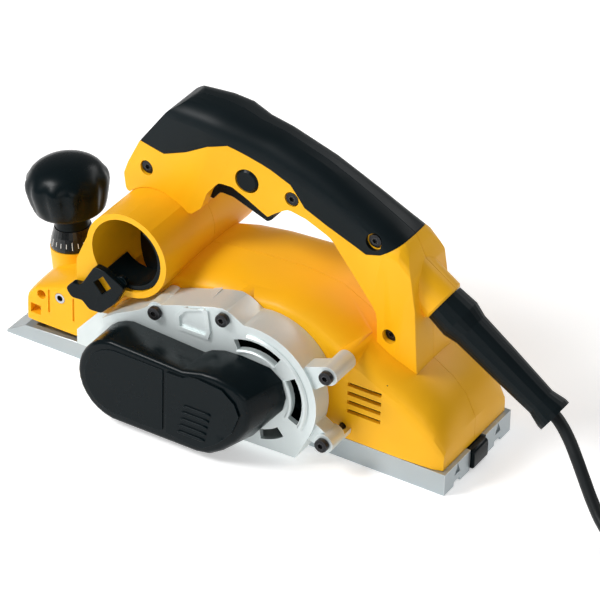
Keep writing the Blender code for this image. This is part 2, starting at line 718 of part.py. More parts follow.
def belt_loop(drum_radius, motor_radius, steps=14):
    """The belt line round both pulleys: two arcs joined by their common tangents."""
    span = Vector((MOTOR_X - DRUM_X, MOTOR_Z - DRUM_Z))
    lean = math.degrees(math.atan2(span.y, span.x))
    spread = math.degrees(math.acos((drum_radius - motor_radius) / span.length))
    drum_side = arc((DRUM_X, DRUM_Z), drum_radius, lean + spread, lean + 360 - spread, steps)
    motor_side = arc((MOTOR_X, MOTOR_Z), motor_radius, lean - spread, lean + spread, steps)
    return drum_side + motor_side


def make_belt_drive():
    near = PULLEY_NEAR - 0.0015
    far = PULLEY_FAR + 0.0015
    outer = belt_loop(DRUM_PULLEY + GAP + BELT_THICK, MOTOR_PULLEY + GAP + BELT_THICK)
    inner = belt_loop(DRUM_PULLEY + GAP, MOTOR_PULLEY + GAP)
    bm = bmesh.new()
    rings = []
    for outline, y in ((outer, near), (outer, far), (inner, far), (inner, near)):
        rings.append([bm.verts.new((x, y, z)) for x, z in outline])
    for first, second in zip(rings, rings[1:] + rings[:1]):
        for index in range(len(first)):
            after = (index + 1) % len(first)
            bm.faces.new((first[index], first[after], second[after], second[index]))
    add("drive_belt", closed_up(bm), RUBBER_BLACK)
    for name, radius, bore, axis in (
        ("drum_pulley", DRUM_PULLEY, DRUM_SHAFT, drum_axis),
        ("motor_pulley", MOTOR_PULLEY, MOTOR_SHAFT, motor_axis),
    ):
        length = PULLEY_WIDTH
        flange = radius + 0.0014
        profile = [
            (bore + GAP, 0), (flange, 0), (flange, 0.001), (radius, 0.001),
            (radius, length - 0.001), (flange, length - 0.001), (flange, length), (bore + GAP, length),
        ]
        place = (axis.location.x, PULLEY_FAR, axis.location.z)
        add(name, turned(profile, place, (0, 1, 0), 32), STEEL, axis)


# ---------------------------------------------------------------- cutter drum


def make_drum():
    half = DRUM_WIDTH / 2
    pulley_end = PULLEY_FAR - 0.001
    profile = [
        (0, pulley_end + half), (DRUM_SHAFT, pulley_end + half), (DRUM_SHAFT, 0), (DRUM_RADIUS, 0),
        (DRUM_RADIUS, DRUM_WIDTH), (0.0125, DRUM_WIDTH), (0.0125, DRUM_WIDTH - 0.013),
        (0, DRUM_WIDTH - 0.013),
    ]
    drum = add("cutter_drum", turned(profile, (DRUM_X, -half, DRUM_Z), (0, 1, 0), 40), ALUMINIUM, drum_axis)
    for number in range(2):
        turn = Matrix.Translation(DRUM) @ Matrix.Rotation(math.pi * number + 0.6, 4, "Y")
        back = Matrix.Translation(-DRUM)
        low = DRUM_Z + CUT_RADIUS - BLADE_DEPTH
        slot = box((DRUM_X - 0.0062, -half - 0.01, low - GAP), (DRUM_X + 0.0012, half + 0.01, DRUM_Z + 0.04))
        blade = box((DRUM_X, -half, low), (DRUM_X + BLADE_THICK - 0.0005, half, DRUM_Z + CUT_RADIUS - 0.0002))
        clamp = box(
            (DRUM_X - 0.0059, -half, low), (DRUM_X - GAP, half, DRUM_Z + DRUM_RADIUS - 0.0012)
        )
        for bm in (slot, blade, clamp):
            bmesh.ops.transform(bm, matrix=turn @ back, verts=bm.verts)
        cut(drum, cutter(f"drum_slot_{number}", slot))
        add(f"blade_{number + 1}", blade, STEEL, drum_axis)
        add(f"clamp_bar_{number + 1}", clamp, STEEL, drum_axis)
    left_place = CASTING_BACK - BEARING_WIDTH
    add("drum_bearing_left", ring_y(0.0140, DRUM_SHAFT + GAP, DRUM, left_place, CASTING_BACK - GAP), STEEL)
    right = half - 0.0105
    add("drum_bearing_right", ring_y(0.0122, 0.004 + GAP, DRUM, right, right + 0.0085), STEEL)


# ---------------------------------------------------------------- motor


def make_motor():
    left_bearing = CASTING_FACE + 0.0040
    right_bearing = HALF - 0.0122
    shaft_left = PULLEY_FAR - 0.001
    shaft = rod_y(MOTOR_SHAFT, MOTOR, shaft_left, right_bearing + BEARING_WIDTH, 20)
    add("motor_shaft", shaft, STEEL, motor_axis)
    for name, place in (("motor_bearing_left", left_bearing), ("motor_bearing_right", right_bearing)):
        add(name, ring_y(0.0110, MOTOR_SHAFT + GAP, MOTOR, place, place + BEARING_WIDTH, 24), STEEL)
    bore = MOTOR_SHAFT + GAP
    start = -HALF + 0.0060
    rotor = [
        (bore, 0), (0.0150, 0), (0.0150, 0.0060), (ROTOR_RADIUS, 0.0070), (ROTOR_RADIUS, 0.0420),
        (0.0150, 0.0430), (0.0150, 0.0490), (bore, 0.0490),
    ]
    add("armature", turned(rotor, (MOTOR_X, start, MOTOR_Z), (0, 1, 0), 32), COPPER, motor_axis)
    commutator_place = start + 0.0495
    commutator = ring_y(0.0110, bore, MOTOR, commutator_place, commutator_place + 0.0120, 24)
    add("commutator", commutator, COPPER, motor_axis)
    fan_outline = []
    blades = 14
    for index in range(blades):
        step = 360 / blades
        angle = step * index
        fan_outline += arc((MOTOR_X, MOTOR_Z), FAN_RADIUS, angle, angle + 0.16 * step, 1)
        fan_outline += arc((MOTOR_X, MOTOR_Z), 0.0175, angle + 0.36 * step, angle + 0.80 * step, 1)
    fan_low = CASTING_FACE + 0.0035 + BEARING_WIDTH + 0.0012
    fan = add("cooling_fan", plate(fan_outline, fan_low, fan_low + 0.0100), BLACK, motor_axis)
    cut(fan, cutter("fan_bore", rod_y(bore, MOTOR, -HALF - 0.05, 0, 20)))
    stator_low = start + 0.0075
    core = ring_y(STATOR_RADIUS, ROTOR_RADIUS + 0.0008, MOTOR, stator_low, stator_low + 0.034, 40)
    stator = add("stator", core, IRON)
    for number, turn in enumerate((0, 180)):
        window = box(
            (MOTOR_X + 0.0200, stator_low - 0.01, MOTOR_Z - 0.006),
            (MOTOR_X + 0.0270, stator_low + 0.05, MOTOR_Z + 0.006),
        )
        about = Matrix.Rotation(math.radians(turn), 4, "Y")
        spin = Matrix.Translation(MOTOR) @ about @ Matrix.Translation(-MOTOR)
        bmesh.ops.transform(window, matrix=spin, verts=window.verts)
        cut(stator, cutter(f"stator_window_{number}", window))
    for number, side in enumerate((-1, 1)):
        near = MOTOR_X + side * 0.0114
        far = MOTOR_X + side * 0.0330
        holder = box(
            (min(near, far), commutator_place + 0.001, MOTOR_Z - 0.006),
            (max(near, far), commutator_place + 0.011, MOTOR_Z + 0.006),
        )
        add(f"brush_{number + 1}", bevelled(holder, 0.0008), CARBON)


# ---------------------------------------------------------------- depth knob


def make_knob():
    collar = [
        (0.0086, 0), (COLLAR_RADIUS, 0), (COLLAR_RADIUS, 0.0015), (0.0135, 0.0085), (0.0118, 0.0130),
        (0.0086, 0.0130),
    ]
    add("depth_scale_collar", turned(collar, knob_place, knob_along, 32), BLACK, knob_axis)
    base = 0.0133
    cap = [
        (0.0043, 0), (0.0112, 0), (0.0105, 0.0070), (0.0125, 0.0105), (0.0215, 0.0115),
        (0.0232, 0.0140), (KNOB_RADIUS, 0.0290), (KNOB_RADIUS - 0.0004, 0.0325), (0.0245, 0.0365),
        (0.0205, 0.0415), (0.0140, 0.0450), (0.0060, 0.0468), (0, 0.0472),
    ]
    cap = [(0, 0.0200), (0.0043, 0.0200)] + cap
    knob = turned(cap, knob_place + knob_along * base, knob_along, 36)
    add("depth_knob", knob, RUBBER_BLACK, knob_axis)
    low = 0.0115 - KNOB_BASE_Z
    spindle = [
        (0, low), (SPINDLE_RADIUS - 0.0008, low), (SPINDLE_RADIUS, low + 0.0008),
        (SPINDLE_RADIUS, 0.0325), (0, 0.0325),
    ]
    add("depth_spindle", turned(spindle, knob_place, knob_along, 20), STEEL, knob_axis)
    bottom = 0.0165
    spring = turned(
        [(0.0072, 0), (0.0096, 0), (0.0096, 0.0165), (0.0072, 0.0165)], (SPINDLE_X, 0, bottom), (0, 0, 1), 24
    )
    add("spindle_spring", spring, STEEL)


# ---------------------------------------------------------------- handle


def guard_direction():
    return Vector((math.cos(GUARD_FALL), 0, -math.sin(GUARD_FALL)))


def handle_outline():
    """The handle from the side: nose, grip, lead boss, rear pillar and finger window."""
    return rounded(
        [
            (-0.0845, 0.1210, 0.003), (-0.0870, 0.1320, 0.005), (-0.0840, 0.1410, 0.008),
            (-0.0760, 0.1580, 0.012),
            (-0.0560, 0.1860, 0.012), (-0.0440, 0.1955, 0.010), (-0.0270, 0.1975, 0.020),
            (-0.0108, 0.1959, 0.010),
            (0.0000, 0.1924, 0.010), (0.0180, 0.1896, 0.020), (0.0480, 0.1803, 0.040),
            (0.0790, 0.1663, 0.050),
            (0.1100, 0.1500, 0.010), (0.1150, 0.1400, 0.008), (0.1195, 0.1300, 0.004),
            (0.1232, 0.1080, 0.010),
            (0.1254, 0.0774, 0.004), (0.1272, 0.0560, 0),
            (0.0980, 0.0560, 0), (0.0965, 0.0970, 0.015), (0.0618, 0.1370, 0.015), (0.0439, 0.1445, 0.008),
            (0.0313, 0.1468, 0.006), (0.0225, 0.1410, 0.004), (0.0171, 0.1365, 0.001),
            (-0.0080, 0.1495, 0.004),
            (-0.0175, 0.1495, 0.005), (-0.0255, 0.1390, 0.004), (-0.0294, 0.1272, 0.001),
            (-0.0360, 0.1210, 0.001),
        ],
        steps=2,
    )


def handle_stations():
    """The handle's sections: top point, lean of the section, its length downwards and half width."""
    return [
        ((-0.0605, 0.1955), NOSE_LEAN, 0.160, NOSE_EDGE_HALF),
        ((-0.0387, 0.1964), NOSE_LEAN, 0.160, (NOSE_EDGE_HALF + HANDLE_HALF) / 2 + 0.0004),
        ((-0.0250, 0.1970), NOSE_LEAN, 0.160, HANDLE_HALF - 0.0009),
        ((-0.0113, 0.1955), NOSE_LEAN, 0.160, HANDLE_HALF),
        ((0.0020, 0.1915), 25, 0.160, GRIP_HALF + 0.0012),
        ((0.0180, 0.1892), 20, 0.155, GRIP_HALF),
        ((0.0480, 0.1799), 8, 0.140, GRIP_HALF),
        ((0.0640, 0.1730), 4, 0.135, GRIP_HALF),
        ((0.0790, 0.1659), 0, 0.130, GRIP_HALF + 0.0008),
        ((0.0980, 0.1560), -3, 0.120, HANDLE_HALF - 0.0010),
        ((0.1090, 0.1500), -5, 0.110, HANDLE_HALF + 0.0005),
        ((0.1175, 0.1410), -10, 0.100, HANDLE_HALF + 0.0005),
        ((0.1400, 0.1180), -20, 0.090, HANDLE_HALF + 0.0005),
    ]


def handle_crown(grow):
    """The handle's rounded back and changing width, as a solid that the side view is cut from."""
    rings = []
    for (x, z), lean, length, half in handle_stations():
        up = Vector((math.sin(math.radians(lean)), 0, math.cos(math.radians(lean))))
        top = Vector((x, 0, z)) + up * (grow - 0.0004)
        half = half + grow
        shoulder = top - up * CROWN_DROP
        foot = top - up * length
        ring = [foot - Vector((0, half, 0)), foot + Vector((0, half, 0))]
        steps = 12
        for step in range(steps + 1):
            angle = math.pi * step / steps
            across = math.cos(angle)
            rise = max(math.sin(angle), 0.0) ** (2 / HANDLE_CROWN_POWER)
            y = half * math.copysign(abs(across) ** (2 / HANDLE_CROWN_POWER), across)
            ring.append(shoulder + up * (CROWN_DROP * rise) + Vector((0, y, 0)))
        rings.append(ring)
    return lofted(rings)


def guard_boss():
    """The round boss on the rear pillar that the lead's guard comes out of."""
    radius = GUARD_COLLAR + 0.0015
    profile = [(0, -0.028), (radius, -0.028), (radius, -0.0012), (radius - 0.0012, 0), (0, 0)]
    return turned(profile, GUARD_START, guard_direction(), 24)


def rubber_outline(shrink):
    """The side of the soft grip: everything above this wavy line is rubber."""
    line = [
        (-0.0840, 0.1600), (-0.0740, 0.1585), (-0.0565, 0.1567), (-0.0400, 0.1640), (-0.0244, 0.1735),
        (-0.0109, 0.1781), (0.0027, 0.1747), (0.0190, 0.1700), (0.0326, 0.1644), (0.0375, 0.1585),
        (0.0428, 0.1517), (0.0600, 0.1442), (0.0869, 0.1351), (0.0970, 0.1385), (0.1086, 0.1471),
        (0.1180, 0.1560),
    ]
    over = [(0.1300, 0.2100), (-0.1000, 0.2100)]
    return [(x, z + shrink) for x, z in line] + over


def core_outline(grow):
    """The plastic under the rubber: the top of the handle, one rubber thickness down."""
    down = RUBBER - grow
    top = [
        (-0.0790, 0.1480), (-0.0760, 0.1540), (-0.0560, 0.1820), (-0.0430, 0.1950), (-0.0270, 0.1970),
        (-0.0108, 0.1955),
        (0.0000, 0.1920), (0.0180, 0.1890), (0.0480, 0.1797), (0.0790, 0.1655), (0.1085, 0.1500),
        (0.1130, 0.1400),
    ]
    lower = [(0.1130, 0.1200), (0.0869, 0.1250), (0.0000, 0.1600), (-0.0790, 0.1300)]
    return [(x + down * 0.6, z - down) for x, z in top[:3]] + [(x, z - down) for x, z in top[3:]] + lower


def cavity_outline():
    return [
        (-0.0760, 0.1050), (-0.0780, 0.1390), (-0.0660, 0.1560), (-0.0450, 0.1840), (-0.0120, 0.1845),
        (0.0180, 0.1780), (0.0480, 0.1685), (0.0800, 0.1540), (0.1010, 0.1420), (0.1080, 0.1300),
        (0.1140, 0.1200), (0.1175, 0.1100), (0.1175, 0.0500), (0.1035, 0.0500), (0.1025, 0.0990),
        (0.0660, 0.1420), (0.0450, 0.1510), (0.0300, 0.1530), (0.0180, 0.1480), (-0.0080, 0.1580),
        (-0.0200, 0.1580), (-0.0370, 0.1480), (-0.0400, 0.1050),
    ]


def handle_screw_places():
    return [(-0.0693, 0.1422), (0.0337, 0.1548), (0.1058, 0.0840), (0.0919, 0.1457)]


def handle_screw_end(number):
    """The lowest screw has no boss, so it reaches into the far wall."""
    return 0.0165 if number == 2 else 0.0120


def make_handle():
    spare = 0.05
    sides = {"left": (-spare, -GAP / 2), "right": (GAP / 2, spare)}
    shape = plate(handle_outline(), -HANDLE_HALF, HANDLE_HALF)
    rear = [
        edge for edge in shape.edges
        if all(abs(vert.co.y) > HANDLE_HALF - 1e-6 and vert.co.x > 0.117 for vert in edge.verts)
        and edge.verts[0].co.y * edge.verts[1].co.y > 0 and min(vert.co.x for vert in edge.verts) > 0.1185
    ]
    bmesh.ops.bevel(
        shape, geom=rear, offset=PILLAR_ROUND, segments=3, profile=0.5, affect="EDGES", clamp_overlap=True
    )
    shape_mesh = cutter("handle_shape", closed_up(shape)).data
    crown = cutter("handle_crown", handle_crown(0))
    boss = cutter("guard_boss", guard_boss())
    cavity = cutter("handle_cavity", plate(cavity_outline(), -CAVITY_HALF, CAVITY_HALF))
    slot_side = [(-0.0325, 0.1150), (-0.0315, 0.1540), (-0.0160, 0.1640), (0.0175, 0.1620), (0.0195, 0.1150)]
    slot = cutter("trigger_slot", plate(slot_side, -TRIGGER_HALF - 0.001, TRIGGER_HALF + 0.001))
    soft = cutter("rubber_room", plate(rubber_outline(0), -spare, spare))
    core = cutter("core", plate(core_outline(0), -HANDLE_HALF + RUBBER, HANDLE_HALF - RUBBER))
    cut(soft, keep(core, cutter("core_crown", handle_crown(-RUBBER))))
    soft_fit = cutter("rubber_shape", plate(rubber_outline(GAP), -spare, spare))
    fit_half = HANDLE_HALF - RUBBER + GAP
    core_fit = cutter("core_fit", plate(core_outline(GAP), -fit_half, fit_half))
    cut(soft_fit, keep(core_fit, cutter("core_fit_crown", handle_crown(GAP - RUBBER))))
    body = cutter("body_room", body_skin(GAP, 7, 15))
    barrel = cutter("barrel_room", rod_y(BARREL_RADIUS + GAP, BARREL, -spare, spare, 40))
    inside = Vector(GUARD_START) - guard_direction() * 0.018
    sleeve = cutter("guard_room", rod(GUARD_COLLAR - 0.0025 + GAP, inside, guard_direction(), 0.05, 23))
    button_x, button_z = BUTTON_PLACE
    button = cutter("button_hole", rod_y(BUTTON_RADIUS + RUN, (button_x, 0, button_z), -spare, -0.010, 24))
    for side, (y_low, y_high) in sides.items():
        away = cutter(f"handle_{side}_room", box((-0.2, y_low, 0.0), (0.3, y_high, 0.3)))
        half = add(f"handle_{side}", bmesh.new(), YELLOW)
        half.data = shape_mesh.copy()
        half.data.materials.append(YELLOW)
        keep(half, crown)
        join(half, boss)
        keep(half, away)
        cut(half, soft, cavity)
        inner = CAVITY_HALF + 0.0008 if side == "right" else -CAVITY_HALF - 0.0008
        low, high = sorted((inner, math.copysign(GAP / 2, inner)))
        bosses = []
        holes = [slot, barrel, body, sleeve]
        for number, (x, z) in enumerate(handle_screw_places()):
            if number != 2:
                bosses.append(cutter(f"{side}_boss_{number}", rod_y(0.0052, (x, 0, z), low, high, 16)))
            hole = rod_y(SCREW_SHANK + GAP, (x, 0, z), -spare, handle_screw_end(number) + 0.0005, 14)
            holes.append(cutter(f"{side}_hole_{number}", hole))
            if side == "left":
                recess = rod_y(SCREW_HEAD + 0.0006, (x, 0, z), -spare, -HANDLE_HALF + SCREW_SINK, 18)
                holes.append(cutter(f"recess_{number}", recess))
        if side == "left":
            holes.append(button)
        join(half, *bosses)
        cut(half, *holes)
        grip = add(f"grip_{side}", bmesh.new(), RUBBER_BLACK)
        grip.data = shape_mesh.copy()
        grip.data.materials.append(RUBBER_BLACK)
        keep(grip, crown)
        keep(grip, away)
        keep(grip, soft_fit)
        if side == "left":
            x, z = handle_screw_places()[3]
            cut(grip, cutter("grip_recess", rod_y(SCREW_HEAD + 0.0012, (x, 0, z), -spare, 0, 20)))
    for number, (x, z) in enumerate(handle_screw_places()):
        head = -HANDLE_HALF + SCREW_SINK - GAP
        profile = [
            (0, -0.0025), (SCREW_HEAD, -0.0025), (SCREW_HEAD, 0), (SCREW_SHANK, 0),
            (SCREW_SHANK, handle_screw_end(number) - head), (0, handle_screw_end(number) - head),
        ]
        add(f"handle_screw_{number + 1}", turned(profile, (x, head, z), (0, 1, 0), 16), BLACK_SCREW)


BUTTON_PLACE = (0.0022, 0.1569)
TRIGGER_PIVOT = Vector((0.0120, 0.0, 0.1440))


def make_switch():
    trigger_axis = joint_empty("trigger_axis", TRIGGER_PIVOT)
    side = rounded(
        [
            (-0.0300, 0.1310, 0.001), (-0.0262, 0.1305, 0.001), (-0.0215, 0.1370, 0.004),
            (-0.0120, 0.1365, 0.010),
            (0.0125, 0.1275, 0.002), (0.0165, 0.1305, 0.003), (0.0172, 0.1465, 0.003),
            (0.0060, 0.1490, 0.003),
            (-0.0160, 0.1500, 0.003), (-0.0245, 0.1450, 0.004), (-0.0298, 0.1380, 0.004),
        ],
        steps=2,
    )
    trigger = add("trigger", plate(side, -TRIGGER_HALF, TRIGGER_HALF), BLACK, trigger_axis)
    cut(trigger, cutter("trigger_bore", rod_y(0.0015 + GAP, TRIGGER_PIVOT, -0.02, 0.02, 12)))
    add("trigger_pin", rod_y(0.0015, TRIGGER_PIVOT, -TRIGGER_HALF - 0.0006, TRIGGER_HALF + 0.0006, 12), STEEL)
    add("switch_body", bevelled(box((-0.0180, -0.0090, 0.1600), (0.0150, 0.0090, 0.1760)), 0.001), BLACK)
    spring = turned(
        [(0.0016, 0), (0.0026, 0), (0.0026, 0.0090), (0.0016, 0.0090)], (-0.0120, 0, 0.1507), (0, 0, 1), 16
    )
    add("trigger_spring", spring, STEEL)
    x, z = BUTTON_PLACE
    face = -GRIP_HALF - 0.0012
    profile = [
        (0, 0), (BUTTON_RADIUS - 0.0012, 0), (BUTTON_RADIUS, 0.0012), (BUTTON_RADIUS, -0.0125 - face),
        (0, -0.0125 - face),
    ]
    add("lock_off_button", turned(profile, (x, face, z), (0, 1, 0), 24), BLACK)


# ---------------------------------------------------------------- chip deflector


def make_deflector():
    """The slanted flap that turns in the outlet and sends the chips left or right."""
    radius = BARREL_BORE - RUN
    near = -BARREL_LEFT + 0.0035
    middle = FLAP_MIDDLE
    slope = Vector((math.sqrt(0.5), radius / FLAP_REACH, -math.sqrt(0.5)))
    first = middle - FLAP_REACH - 0.002
    last = middle + FLAP_REACH + 0.002
    flap = add("chip_deflector", rod_y(radius, BARREL, first, last, 40), BLACK, barrel_axis)
    normal = slope.normalized()
    along = Vector((0, 1, 0)).cross(normal).normalized()
    up = normal.cross(along)
    centre = Vector((BARREL_X, middle, BARREL_Z))
    corners = []
    for a, b in ((-1, -1), (1, -1), (1, 1), (-1, 1)):
        corners.append(centre + along * a * 0.08 + up * b * 0.08 - normal * FLAP_THICK / 2)
    keep(flap, cutter("flap_slab", extruded(corners, normal * FLAP_THICK)))
    centre_xz = (BARREL_X, BARREL_Z)
    band = arc(centre_xz, radius - 0.0028, -135, 60, 14) + arc(centre_xz, radius, 60, -135, 14)
    join(flap, cutter("flap_band", plate(band, near - 0.0015, FLAP_BAND_END)))
    x = BARREL_X
    z = BARREL_Z
    lever_side = rounded(
        [
            (x + 0.0020, z - 0.0205, 0.002), (x - 0.0050, z - 0.0340, 0.003), (x - 0.0150, z - 0.0445, 0.004),
            (x - 0.0240, z - 0.0450, 0.004), (x - 0.0290, z - 0.0400, 0.003), (x - 0.0370, z - 0.0405, 0.003),
            (x - 0.0415, z - 0.0350, 0.003), (x - 0.0370, z - 0.0300, 0.003), (x - 0.0300, z - 0.0290, 0.004),
            (x - 0.0200, z - 0.0120, 0.003), (x - 0.0120, z - 0.0130, 0.002),
        ],
        steps=2,
    )
    lever_back = -BARREL_LEFT - GAP
    lever = plate(lever_side, lever_back - LEVER_THICK, lever_back)
    lever_obj = add("deflector_lever", lever, BLACK, barrel_axis)
    window = [
        (x - 0.0137, z - 0.0170), (x - 0.0077, z - 0.0237), (x - 0.0142, z - 0.0305), (x - 0.0205, z - 0.0235),
    ]
    cut(lever_obj, cutter("lever_window", plate(window, lever_back - 0.02, lever_back + 0.02)))
    stem = rod_y(0.0040, (x - 0.0030, 0, z - 0.0195), lever_back - 0.001, near - 0.0015 - GAP, 12)
    join(lever_obj, cutter("lever_stem", stem))


# ---------------------------------------------------------------- mains lead


def make_guard():
    along = guard_direction()
    profile = [
        (0.0101, -0.0150), (0.0101, 0.0003), (GUARD_COLLAR, 0.0003), (GUARD_COLLAR + 0.0010, 0.0140),
        (0.0118, 0.0230), (0.0110, 0.0500), (0.0096, 0.0830), (0.0117, GUARD_LENGTH - 0.0030),
        (0.0117, GUARD_LENGTH), (0.0090, GUARD_LENGTH),
        (CORD_DIAMETER / 2 + GAP, GUARD_LENGTH - 0.0010), (CORD_DIAMETER / 2 + GAP, -0.0150),
    ]
    add("cord_guard", turned(profile, GUARD_START, along, 24), RUBBER_BLACK)
    clamp = bevelled(box((0.1060, -0.0100, 0.1090), (0.1120, 0.0100, 0.1220)), 0.001)
    add("cord_clamp", clamp, BLACK)


def smooth_route(points, per_span):
    """Points on a smooth curve through the route's own points."""
    ends = [points[0] * 2 - points[1]] + points + [points[-1] * 2 - points[-2]]
    route = []
    for index in range(1, len(ends) - 2):
        before, start, end, after = ends[index - 1:index + 3]
        for step in range(per_span):
            t = step / per_span
            route.append(
                0.5 * (
                    2 * start + (end - before) * t + (2 * before - 5 * start + 4 * end - after) * t ** 2
                    + (3 * start - before - 3 * end + after) * t ** 3
                )
            )
    route.append(points[-1])
    return route


CORD_REST = CORD_DIAMETER / 2 + GAP  # height of the lead's middle where it lies on the bench
CORD_ROUTE = [
    (0.2150, -0.0010, 0.0515),
    (0.2225, -0.0040, 0.0452),
    (0.2310, -0.0090, 0.0372),
    (0.2400, -0.0145, 0.0278),
    (0.2495, -0.0205, 0.0186),
    (0.2600, -0.0265, 0.0108),
    (0.2720, -0.0325, 0.0062),
    (0.2850, -0.0375, CORD_REST),
    (0.2990, -0.0410, CORD_REST),
    (0.3130, -0.0424, CORD_REST),
]


def make_lead():
    inside = [Vector(GUARD_START) + guard_direction() * (GUARD_LENGTH + back) for back in (-0.0080, 0.0005)]
    spline_points = smooth_route(inside + [Vector(point) for point in CORD_ROUTE], 2)
    curve = bpy.data.curves.new("power_cord", "CURVE")
    curve.dimensions = "3D"
    curve.bevel_depth = CORD_DIAMETER / 2
    curve.bevel_resolution = 2
    curve.use_fill_caps = True
    spline = curve.splines.new("POLY")
    spline.points.add(len(spline_points) - 1)
    for target, point in zip(spline.points, spline_points):
        target.co = (*point, 1.0)
    curve.materials.append(RUBBER_BLACK)
    bpy.context.scene.collection.objects.link(bpy.data.objects.new("power_cord", curve))
    inner = COIL_RADII[0] - CORD_DIAMETER / 2 - 0.0003
    outer = COIL_RADII[-1] + CORD_DIAMETER / 2 + 0.0003
    top = COIL_PITCH * (COIL_LAYERS - 1) + CORD_DIAMETER + 0.0006
    ring = turned(
        [(inner, 0), (outer, 0), (outer, top), (inner, top)], (*COIL_CENTRE, GAP), (0, 0, 1), 40
    )
    entry_low = (COIL_CENTRE[0] - 0.060, COIL_CENTRE[1] - 0.0660, -0.01)
    entry_high = (CORD_ROUTE[-1][0] + GAP, COIL_CENTRE[1] - 0.0460, 0.0100)
    cut(add("cord_coil", ring, RUBBER_BLACK), cutter("coil_entry", box(entry_low, entry_high)))
    return top + GAP


def make_plug(coil_top):
    """A two-pin plug that lies across the coil, its pins to the front."""
    x = COIL_CENTRE[0] + 0.0050
    y = COIL_CENTRE[1] + 0.0445
    low = coil_top + PLUG_TOP_GAP
    half_wide = 0.0175
    thick = 0.0160
    length = 0.0480
    outline = rounded(
        [
            (x, y + 0.0060, 0.003), (x, y - 0.0060, 0.003),
            (x - 0.0220, y - half_wide, 0.010), (x - length, y - half_wide, 0.003),
            (x - length, y + half_wide, 0.003), (x - 0.0220, y + half_wide, 0.010),
        ]
    )
    body = bevelled(slab(outline, low, low + thick), 0.002)
    plug = add("mains_plug", body, BLACK)
    for number, side in enumerate((-0.0095, 0.0095)):
        pin = rod(0.0024, (x - length + 0.008, y + side, low + thick / 2), (-1, 0, 0), 0.027, 12)
        join(plug, cutter(f"plug_pin_{number}", pin))


make_front_sole()
make_rear_sole()
make_parking_foot()
make_housing()
make_casting()
make_casting_screws()
make_cover()
make_belt_drive()
make_drum()
make_motor()
make_knob()
make_handle()
make_switch()
make_deflector()
make_guard()
make_plug(make_lead())
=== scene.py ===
# %% [markdown]
# # An electric hand planer
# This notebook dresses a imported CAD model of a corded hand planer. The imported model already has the
# right sizes and the moving bodies. What is added here is what makes the tool look real: moulded
# yellow plastic, soft black rubber, cast and machined aluminium, screws with sockets, a fluted knob,
# and the mains lead with its plug. Lengths are in metres. The front of the tool is -X and up is +Z.

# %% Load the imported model
import json
import math

import bmesh
import bpy
from mathutils import Matrix, Vector
from mathutils.bvhtree import BVHTree


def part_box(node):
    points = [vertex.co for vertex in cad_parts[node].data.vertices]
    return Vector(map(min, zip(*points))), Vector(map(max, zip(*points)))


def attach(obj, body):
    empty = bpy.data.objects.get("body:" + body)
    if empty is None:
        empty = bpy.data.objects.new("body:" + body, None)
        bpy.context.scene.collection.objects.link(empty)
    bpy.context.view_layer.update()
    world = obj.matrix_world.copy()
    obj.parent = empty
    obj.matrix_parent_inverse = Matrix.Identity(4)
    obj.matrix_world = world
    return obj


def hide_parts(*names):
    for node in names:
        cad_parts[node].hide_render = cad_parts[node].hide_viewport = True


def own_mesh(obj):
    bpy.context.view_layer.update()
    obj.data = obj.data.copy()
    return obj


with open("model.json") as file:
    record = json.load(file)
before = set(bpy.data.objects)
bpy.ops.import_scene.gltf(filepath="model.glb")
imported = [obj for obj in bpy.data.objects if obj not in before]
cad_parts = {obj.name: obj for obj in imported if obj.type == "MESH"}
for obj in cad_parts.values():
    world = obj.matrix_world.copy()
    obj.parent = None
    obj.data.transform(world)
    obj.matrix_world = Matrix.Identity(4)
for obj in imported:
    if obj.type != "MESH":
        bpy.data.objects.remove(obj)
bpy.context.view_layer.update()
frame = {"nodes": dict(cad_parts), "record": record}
nodes = frame["nodes"]

# %% [markdown]
# ## The camera
# A product shot of a long tool is taken with a long lens from a few metres away, so that near and far
# ends keep their proportions. The camera looks down at about 34 degrees, from the left side of the
# tool and a little behind its front. Its rotation is built from three directions at right angles,
# which is easier to reason about than three Euler angles: what is right, what is up, what is behind.

# %% Camera
TURN = math.radians(30.568)
LOOK_DOWN = math.radians(33.754)
ROLL = math.radians(1.603)
AIM = Vector((0.0, 0.0, 0.060))
LENS_OFFSET = (0.0270, 0.00033, 2.525)  # right, up and back from the aim, in the camera's own axes

back = Vector((
    math.sin(TURN) * math.cos(LOOK_DOWN), -math.cos(TURN) * math.cos(LOOK_DOWN), math.sin(LOOK_DOWN)))
level_right = Vector((math.cos(TURN), math.sin(TURN), 0.0))
level_up = back.cross(level_right)
right = level_right * math.cos(ROLL) + level_up * math.sin(ROLL)
up = level_up * math.cos(ROLL) - level_right * math.sin(ROLL)
stand = AIM + right * LENS_OFFSET[0] + up * LENS_OFFSET[1] + back * LENS_OFFSET[2]

camera_data = bpy.data.cameras.new("camera")
camera_data.lens = 245.1
camera_data.sensor_width = 36.0
camera_data.clip_start = 0.1
camera = bpy.data.objects.new("camera", camera_data)
camera.matrix_world = Matrix((
    (right.x, up.x, back.x, stand.x), (right.y, up.y, back.y, stand.y), (right.z, up.z, back.z, stand.z),
    (0.0, 0.0, 0.0, 1.0)))
bpy.context.scene.collection.objects.link(camera)
bpy.context.scene.camera = camera
print("camera stands at", [round(value, 3) for value in camera.location])

# %% [markdown]
# ## Shared surface effects
# Real plastic and metal are never one flat colour. Three effects turn up in nearly every finish
# here: the fine grain of a moulded or cast skin, edges that have been rubbed brighter, and dust that
# settles on faces that look up. Each is a shader node group, built once, that puts out a mask or a
# height between 0 and 1. The materials then decide what to do with it.


